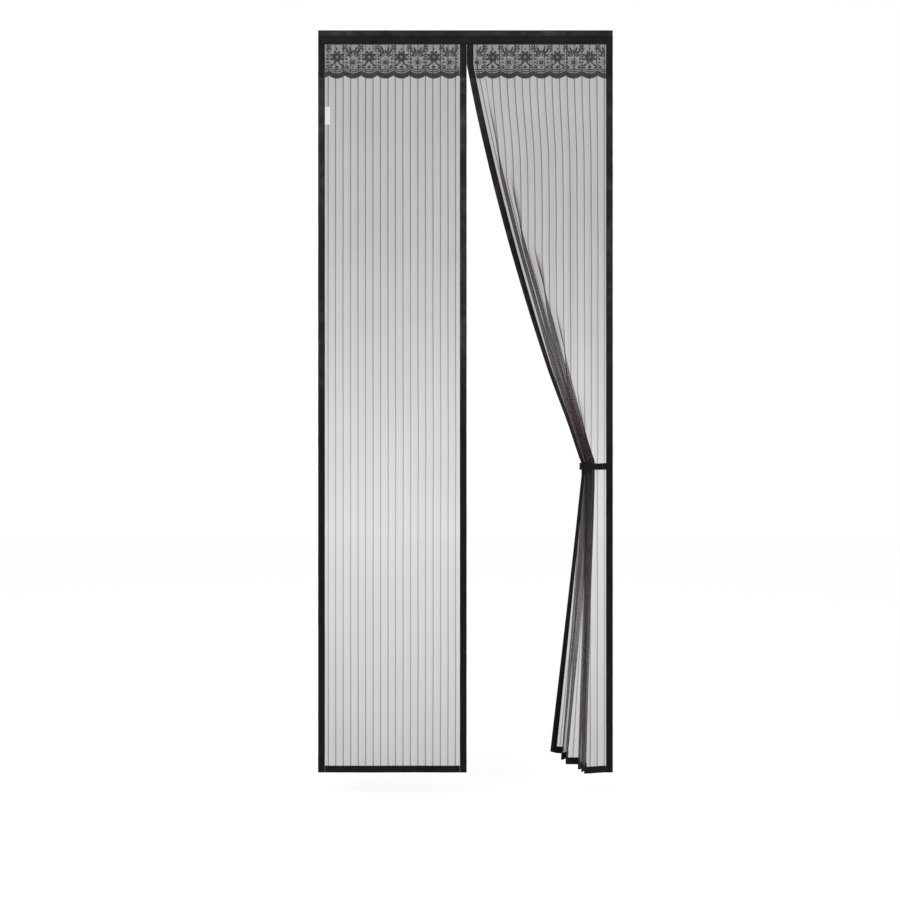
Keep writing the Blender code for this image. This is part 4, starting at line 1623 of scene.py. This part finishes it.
@dataclass
class Lace:
    """A scalloped lace: an open ground, and the dense work on it.

    left and width place it across the door, start is where its first scallop
    begins, and first names the motif over that scallop. A lace with a drape
    follows the drawn cloth. flower_z and spray_z are the motifs' heights, band is
    the edge's dense band, and lines and fill are heights and sizes of the thin
    lines and of the leaves between the motifs, all above the scallops' points.
    """

    name: str
    left: float
    width: float
    start: float
    first: Motif
    drape: Drape | None = None
    flower_z: float = 0.058
    spray_z: float = 0.057
    band: float = 0.0138
    lines: tuple[tuple[float, float], ...] = ((0.0166, 0.0026), (0.0222, 0.0024))
    fill: tuple[tuple[float, float], ...] = (
        (0.0395, 0.0072), (0.0555, 0.0062), (0.0690, 0.0080), (0.0850, 0.0070),
    )
    thread_t: float = 0.0003
    wave: float = 0.0005  # of the free edge

    def make(self, finishes: Finishes) -> None:
        """Args:
            finishes: The screen's finishes.
        """
        cloth, work = self.ground(), self.work()
        dress(cloth, finishes.ground, Slot.LACE, self.name)
        dress(work, finishes.worked, Slot.LACE)

    def edge(self, x: float) -> float:
        """Height of the scalloped edge above its lowest points, at a place along it."""
        turn = math.pi * (x - self.start) / CUT.scallop_pitch
        return CUT.scallop_depth * (1 - abs(math.sin(turn)) ** 0.8)

    def hang(self, points: np.ndarray, lift: float) -> np.ndarray:
        """Carries places on the lace to the door.

        Args:
            points: An array (n, 3) of places across, up and out of the lace.
            lift: How far in front of the lace's middle they lie.

        Returns:
            An array (n, 3) of points.
        """
        out = np.empty_like(points)
        height = drop_z(CUT.header_h + CUT.lace_drop)
        for i, (x, z, off) in enumerate(points):
            loose = 1 - float(smooth(z / CUT.lace_drop))
            wave = self.wave * loose * (1 + noise.noise(Vector((x * 40, z * 25, self.left))))
            across = self.left + x
            if self.drape is not None:
                drop = CUT.header_h + CUT.lace_drop - z
                row = min(drop / self.drape.drop[1], len(self.drape.drop) - 1.001)
                rows = self.drape.x[int(row) : int(row) + 2]
                low, high = (np.interp(self.left + x, self.drape.u, places) for places in rows)
                across = low + (high - low) * (row % 1)
            out[i] = (across, CUT.lace_y - lift - wave - off, height + z)
        return out

    def ground(self) -> Piece:
        """The open ground of the lace.

        Returns:
            The cloth.
        """
        x = np.linspace(0, self.width, int(self.width / 0.0018))
        share = np.linspace(0, 1, 26)
        top = CUT.lace_tuck + CUT.lace_drop
        places = [(a, self.edge(a) + (top - self.edge(a)) * s, 0.0) for s in share for a in x]
        flat = np.array(places)
        points = self.hang(flat, 0.0).reshape(len(share), len(x), 3)
        uv = flat[:, :2].reshape(len(share), len(x), 2)
        return from_grid(self.name + "_ground", points[::-1], uv[::-1])

    def ribbon(self, low: float, high: float) -> Solid:
        """A dense line that follows the scallops, as points and faces.

        Args:
            low: Its lower edge above the scallops.
            high: Its upper edge above them.

        Returns:
            The points on the lace, and the faces between them.
        """
        x = np.linspace(0.0003, self.width - 0.0003, int(self.width / 0.0016))
        points, faces = [], []
        for i, a in enumerate(x):
            rise = self.edge(a)
            lip = 0.0007 * abs(math.sin(a * 2 * math.pi / 0.0087))
            under, over = rise + low, rise + high + lip
            section = ((under, 0), (under, self.thread_t), (over, self.thread_t), (over, 0))
            points += [(a, z, off) for z, off in section]
            if i:
                b, c = 4 * (i - 1), 4 * i
                faces += [(b + k, c + k, c + (k + 1) % 4, b + (k + 1) % 4) for k in range(4)]
        last = len(points) - 4
        faces += [(0, 1, 2, 3), (last + 3, last + 2, last + 1, last)]
        return np.array(points), faces

    @staticmethod
    def leaf() -> Solid:
        """One worked leaf of unit length and width, drawn up from its point.

        Returns:
            Its points as across, along and out, and its faces.
        """
        Bench.clear()
        bpy.ops.mesh.primitive_circle_add(vertices=12, radius=0.5, fill_type="NGON", location=(0, 0.5, 0))
        made = bpy.context.object
        bpy.ops.object.transform_apply(location=True)
        bpy.ops.object.mode_set(mode="EDIT")
        Bench.select(made, "verts", lambda vertex: vertex.co.y < 0.4)
        bpy.ops.transform.resize(value=(0.55, 1, 1))
        bpy.ops.mesh.select_all(action="SELECT")
        bpy.ops.mesh.inset(thickness=0.14, depth=0.25)
        bpy.ops.mesh.select_all(action="SELECT")
        bpy.ops.mesh.extrude_region_move(TRANSFORM_OT_translate={"value": (0, 0, -1.0)})
        bpy.ops.object.mode_set(mode="OBJECT")
        points = np.array([tuple(vertex.co) for vertex in made.data.vertices])
        faces = [tuple(face.vertices) for face in made.data.polygons]
        bpy.data.objects.remove(made)
        return points, faces

    def stamps(self) -> Iterable[Leaf]:
        """Every worked leaf, from left to right.

        Returns:
            The leaves, some of them past the ends of the lace.
        """
        for i in range(-1, math.ceil(self.width / CUT.scallop_pitch) + 1):
            x = self.start + CUT.scallop_pitch * (i + 0.5)
            flower = (self.first is Motif.FLOWER) == (i % 2 == 0)
            yield from self.flower(x) if flower else self.spray(x)
            between = x + CUT.scallop_pitch / 2
            for z, size in self.fill:
                for angle in (38, 142, 218, 322):
                    yield between, z, angle, 0.0012, size, size * 0.46
            for angle in (-62, 0, 62):
                yield between, 0.0765, angle, 0.0012, 0.0085, 0.0038
            for side in (-1, 1):
                yield between + side * 0.0062, 0.0585, side * 20, 0.0, 0.0098, 0.0034
                yield between + side * 0.0075, 0.0490, side * -28, 0.0, 0.0090, 0.0032
                yield x + side * 0.0138, 0.0835, side * 58, 0.0, 0.0085, 0.0036
                yield x + side * 0.0120, 0.0330, side * 70, 0.0, 0.0080, 0.0032
            for angle in (90, -90):
                yield between, 0.0305, angle, 0.0020, 0.0085, 0.0030

    def flower(self, x: float) -> Iterable[Leaf]:
        """A large flower with two drooping leaves and a bud.

        Args:
            x: Its middle along the lace.

        Returns:
            Its leaves.
        """
        z = self.flower_z
        for i in range(8):
            yield x, z, 45 * i, 0.0020, 0.0112, 0.0072
            yield x, z, 45 * i + 22.5, 0.0098, 0.0082, 0.0062
        for side in (-1, 1):
            yield x, z - 0.014, side * 118, 0.0050, 0.0140, 0.0048
            yield x, z - 0.021, side * 150, 0.0010, 0.0085, 0.0036
        yield x, z - 0.0330, 0, 0.0, 0.0090, 0.0056
        yield x, z + 0.0175, 0, 0.0, 0.0075, 0.0040

    def spray(self, x: float) -> Iterable[Leaf]:
        """Leaves in a V over a round bloom in a ring of dots.

        Args:
            x: Its middle along the lace.

        Returns:
            Its leaves.
        """
        z = self.spray_z
        for side in (-1, 1):
            yield x, z, side * 20, 0.0030, 0.0280, 0.0058
            yield x, z, side * 41, 0.0050, 0.0240, 0.0054
            yield x, z, side * 66, 0.0050, 0.0130, 0.0048
            yield x, z - 0.0135, side * 90, 0.0125, 0.0080, 0.0046
            yield x, z - 0.0190, side * 118, 0.0110, 0.0080, 0.0044
        yield x, z, 0, 0.0100, 0.0110, 0.0048
        for i in range(6):
            yield x, z - 0.0135, 60 * i, 0.0008, 0.0060, 0.0048
        for i in range(14):
            yield x, z - 0.0135, 360 * i / 14, 0.0080, 0.0032, 0.0028
        yield x, z - 0.0310, 0, 0.0, 0.0060, 0.0048

    def work(self) -> Piece:
        """The dense work: band, lines, flowers and leaves.

        Returns:
            One piece that lies on the ground.
        """
        points, faces = [], []
        strips = [(0.0, self.band)] + [(low, low + high) for low, high in self.lines]
        for low, high in strips:
            made, around = self.ribbon(low, high)
            faces += [tuple(len(points) + k for k in face) for face in around]
            points += [tuple(p) for p in made]
        unit, around = self.leaf()
        top = CUT.lace_drop + CUT.lace_tuck
        for x, z, angle, start, length, width in self.stamps():
            turn = math.radians(angle)
            side, along = unit[:, 0] * width, unit[:, 1] * length + start
            across = x + along * math.sin(turn) + side * math.cos(turn)
            up = z + along * math.cos(turn) - side * math.sin(turn)
            if across.min() < 0.0004 or across.max() > self.width - 0.0004 or up.max() > top:
                continue
            off = (unit[:, 2] + 1.0) * self.thread_t
            faces += [tuple(len(points) + k for k in face) for face in around]
            points += list(zip(across, up, off))
        flat = np.array(points)
        hung = self.hang(flat, CUT.lace_t / 2).tolist()
        return from_points(self.name + "_work", hung, faces, flat[:, :2], closed=True)


@dataclass
class TieStrap:
    """The strap round the gathered net, from behind the frame's tape to its front."""

    drape: Drape
    turns: int = 10  # flats round the drawn edge
    flat: float = 0.004  # longer parts than this are cut up
    sway: float = 0.0011  # up and down along the strap
    crease: float = 0.0005  # in and out along it

    def make(self, finishes: Finishes, sewing: Seam) -> None:
        """Builds and dresses the strap and its stitches.

        Args:
            finishes: The screen's finishes.
            sewing: The stitch to copy.
        """
        dress(self.build(), finishes.tape, Slot.TAPE, "tie_strap")
        dress(self.seam(sewing), finishes.thread, Slot.TAPE)

    def path(self) -> list[tuple[float, float]]:
        """The strap's middle in plan, laid as in the part but closer to the drawn edge.

        Returns:
            Places across and along the door's depth, from the back to the front.
        """
        near = abs(self.drape.drop - CUT.tie_drop) <= CUT.strap_h / 2 + 2 * CUT.clearance
        x, y = self.drape.x[near], self.drape.y[near]
        inside = x < CUT.half_w - CUT.tape_w
        half = CUT.strap_t / 2
        wall = CUT.pocket_half + CUT.clearance + half
        left = x[inside].min() - wall - CUT.strap_ease
        front = y[inside].min() - wall
        back = CUT.back_y + CUT.clearance + half
        lap_y = CUT.net_y - CUT.plain_half - CUT.clearance - half
        inner = CUT.half_w - CUT.tape_w - CUT.clearance
        radius, middle = (back - front) / 2, (front + back) / 2
        right = x[(y < middle) & inside].max() + wall
        path = [(inner, back), (left + radius / 2, back)]
        for i in range(1, self.turns):
            turn = math.pi * i / self.turns
            path.append((left + radius / 2 * (1 - math.sin(turn)), middle + radius * math.cos(turn)))
        path += [(left + radius / 2, front), (right, front)]
        return path + [(inner, lap_y), (inner + CUT.clearance + CUT.strap_lap, lap_y)]

    def build(self) -> Piece:
        """Extrudes the strap along its path and creases it.

        Returns:
            The strap.
        """
        path = self.path()
        z = drop_z(CUT.tie_drop)
        (ax, ay), (bx, _) = path[:2]
        middle = Vector(((ax + bx) / 2, ay, z))
        made = Bench.plane("tie_strap_webbing", middle, abs(ax - bx), CUT.strap_h)
        bpy.ops.object.mode_set(mode="EDIT")
        Bench.select(made, "edges", lambda edge: Bench.on(edge, 0, bx))
        for (ax, ay), (bx, by) in zip(path[1:], path[2:]):
            Bench.extrude(Vector((bx - ax, by - ay, 0)))
        flat = self.flat
        Bench.select(made, "edges", lambda edge: edge.calc_length() > flat and abs(Bench.lean(edge).z) < 0.5)
        bpy.ops.mesh.subdivide(number_cuts=6)
        Bench.cut(made, 2, 6)
        bpy.ops.object.mode_set(mode="OBJECT")
        for vertex in made.data.vertices:
            co = vertex.co
            up = (co.z - z) / CUT.strap_h
            free = float(smooth((CUT.half_w - CUT.tape_w - 0.004 - co.x) / 0.012))
            co.z += self.sway * free * math.sin((co.x - 0.30) * 75) * (0.6 + up)
            co.y -= self.crease * free * noise.noise(Vector((co.x * 90, up * 3, 1.0)))
        Bench.wall(made, CUT.strap_t, 0.0003, outwards=True)
        lay_uv(made, lambda point: (point.z, point.x + point.y))
        return made

    def seam(self, sewing: Seam) -> Piece:
        """Stitches in a box that hold the strap's end on the frame's tape.

        Args:
            sewing: The stitch to copy.

        Returns:
            The stitches as one piece.
        """
        (_, y), (end, _) = self.path()[-2:]
        z = drop_z(CUT.tie_drop)
        left, right = end - 0.0125, end - 0.0015
        box = [(left, -1), (right, -1), (right, 1), (left, 1), (left, -1)]
        front = y - CUT.strap_t / 2 - sewing.lift
        line = np.array([(x, front, z + side * (CUT.strap_h / 2 - 0.002)) for x, side in box])
        return sewing.sew("strap_stitches", line)


@dataclass
class Studio:
    """Pale floor, soft lamps and the camera of the photograph."""

    eye: tuple[float, float, float] = (-0.0417, -3.374, -1.1121)
    lens: float = 50.0
    sensor: float = 36.0
    floor_z: float = -2.05
    floor_size: float = 16.0
    floor_glow: float = 0.49  # keeps the floor white where it is seen
    world_light: float = 0.62  # the surround's light on the object
    lamp_power: float = 26.0

    def build(self) -> None:
        """Makes camera, floor, world and lamps."""
        self.camera()
        self.floor()
        self.world()
        self.lamps()

    def camera(self) -> None:
        """A level camera square to the door."""
        data = bpy.data.cameras.new("studio_camera")
        data.lens, data.sensor_width = self.lens, self.sensor
        data.clip_end = 60.0
        made = bpy.data.objects.new("studio_camera", data)
        made.location = self.eye
        made.rotation_euler = (math.pi / 2, 0, 0)
        bpy.context.scene.collection.objects.link(made)
        bpy.context.scene.camera = made

    def floor(self) -> None:
        """A plain white floor that keeps the screen's shadow."""
        Bench.clear()
        bpy.ops.mesh.primitive_plane_add(size=self.floor_size, location=(0, 2.0, self.floor_z))
        made = bpy.context.object
        made.name = "studio_floor"
        tree = self.material("studio_floor_white")
        matte = tree.nodes.new("ShaderNodeBsdfDiffuse")
        matte.inputs["Color"].default_value = (0.80, 0.80, 0.80, 1)
        glow = tree.nodes.new("ShaderNodeEmission")
        glow.inputs["Strength"].default_value = self.floor_glow
        seen = self.seen(tree)
        lit = tree.nodes.new("ShaderNodeMixShader")
        both = tree.nodes.new("ShaderNodeAddShader")
        tree.links.new(matte.outputs[0], both.inputs[0])
        tree.links.new(glow.outputs[0], both.inputs[1])
        tree.links.new(seen, lit.inputs[0])
        tree.links.new(matte.outputs[0], lit.inputs[1])
        tree.links.new(both.outputs[0], lit.inputs[2])
        tree.links.new(lit.outputs[0], tree.nodes["Material Output"].inputs[0])
        made.data.materials.append(bpy.data.materials["studio_floor_white"])

    @staticmethod
    def material(name: str) -> bpy.types.NodeTree:
        """The node tree of a new material, with its output alone.

        Args:
            name: The material's name.

        Returns:
            The tree.
        """
        made = bpy.data.materials.new(name)
        made.use_nodes = True
        made.node_tree.nodes.clear()
        output = made.node_tree.nodes.new("ShaderNodeOutputMaterial")
        output.name = "Material Output"
        return made.node_tree

    @staticmethod
    def seen(tree: bpy.types.NodeTree) -> Socket:
        """Tells what the camera, gloss and glass see from light on the object.

        Args:
            tree: The node tree to add it to.

        Returns:
            1 for what is seen and 0 for light.
        """
        path = tree.nodes.new("ShaderNodeLightPath")
        total = path.outputs["Is Camera Ray"]
        for name in ("Is Glossy Ray", "Is Transmission Ray"):
            add = tree.nodes.new("ShaderNodeMath")
            add.operation = "MAXIMUM"
            tree.links.new(total, add.inputs[0])
            tree.links.new(path.outputs[name], add.inputs[1])
            total = add.outputs[0]
        return total

    def world(self) -> None:
        """A white surround that lights the object less than it shows."""
        world = bpy.data.worlds.new("studio_world")
        world.use_nodes = True
        bpy.context.scene.world = world
        tree = world.node_tree
        white = tree.nodes["Background"]
        white.inputs["Color"].default_value = (1, 1, 1, 1)
        gap = tree.nodes.new("ShaderNodeMath")
        gap.operation = "MULTIPLY_ADD"
        tree.links.new(self.seen(tree), gap.inputs[0])
        gap.inputs[1].default_value = 1.0 - self.world_light
        gap.inputs[2].default_value = self.world_light
        tree.links.new(gap.outputs[0], white.inputs["Strength"])

    def lamps(self) -> None:
        """Two large soft lamps, high at the left and lower at the right."""
        for name, place, size, power in (
            ("key_lamp", (-1.9, -2.9, 1.1), 1.8, self.lamp_power),
            ("fill_lamp", (2.3, -3.0, -0.5), 2.2, self.lamp_power * 0.7),
        ):
            data = bpy.data.lights.new(name, "AREA")
            data.shape, data.size, data.energy = "SQUARE", size, power
            made = bpy.data.objects.new(name, data)
            made.location = place
            aim = Vector((0, 0, -0.9)) - Vector(place)
            made.rotation_euler = aim.to_track_quat("-Z", "Y").to_euler()
            bpy.context.scene.collection.objects.link(made)


def laces(drape: Drape) -> tuple[Lace, Lace]:
    """The left lace, and the right one that is sheared with the drawn net.

    Args:
        drape: The drawn net's surface.

    Returns:
        Both laces, not built yet.
    """
    left = -CUT.half_w + CUT.tape_w + CUT.clearance
    left_w = CUT.half_w + CUT.meet_x - 2 * CUT.tape_w - 2 * CUT.clearance
    right = CUT.tape_w + CUT.lace_margin
    right_w = CUT.panel_w - right - CUT.tape_w - CUT.clearance
    return (
        Lace("left_lace", left, left_w, 0.0104, Motif.FLOWER),
        Lace("right_lace", right, right_w, -0.0140, Motif.SPRAY, drape),
    )


def finish_nodes() -> None:
    """Gives the fastening strips and the magnets, which are CAD nodes, their finishes."""
    loop = StripFinish(colour=(0.022, 0.022, 0.023), cells=650.0, depth=0.0007, sheen=0.15)
    finishes = {
        "_hook_strip": StripFinish().build("hook_strip_black"),
        "_loop_strip": loop.build("loop_strip_black"),
        "_magnet_": MagnetFinish().build("magnet_nickel"),
    }
    for name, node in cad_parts.items():
        for word, material in finishes.items():
            if word in name:
                node.data.materials.clear()
                node.data.materials.append(material)
                LOG.info("%s: finished", name)


def main() -> None:
    """Builds the studio and the screen around its frame."""
    logging.basicConfig(level=logging.INFO, format="%(name)s %(message)s")
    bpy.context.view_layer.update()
    bpy.context.scene.view_settings.view_transform = "Standard"
    Studio().build()
    finishes, sewing = Finishes(), Seam()
    drape = Drape(LAPPED_FOLDS, fold_r=0.0019, lapped_seen=0.62, lapped_tied=0.96, lead_turn=0.1)
    drape.follow(Drape())

    FlatPanel().make(finishes, sewing)
    DrawnPanel(drape).make(finishes, sewing)
    Header().make(finishes, sewing)
    for lace in laces(drape):
        lace.make(finishes)
    TieStrap(drape).make(finishes, sewing)
    finish_nodes()

    Bench.clear()


if __name__ == "__main__":
    main()
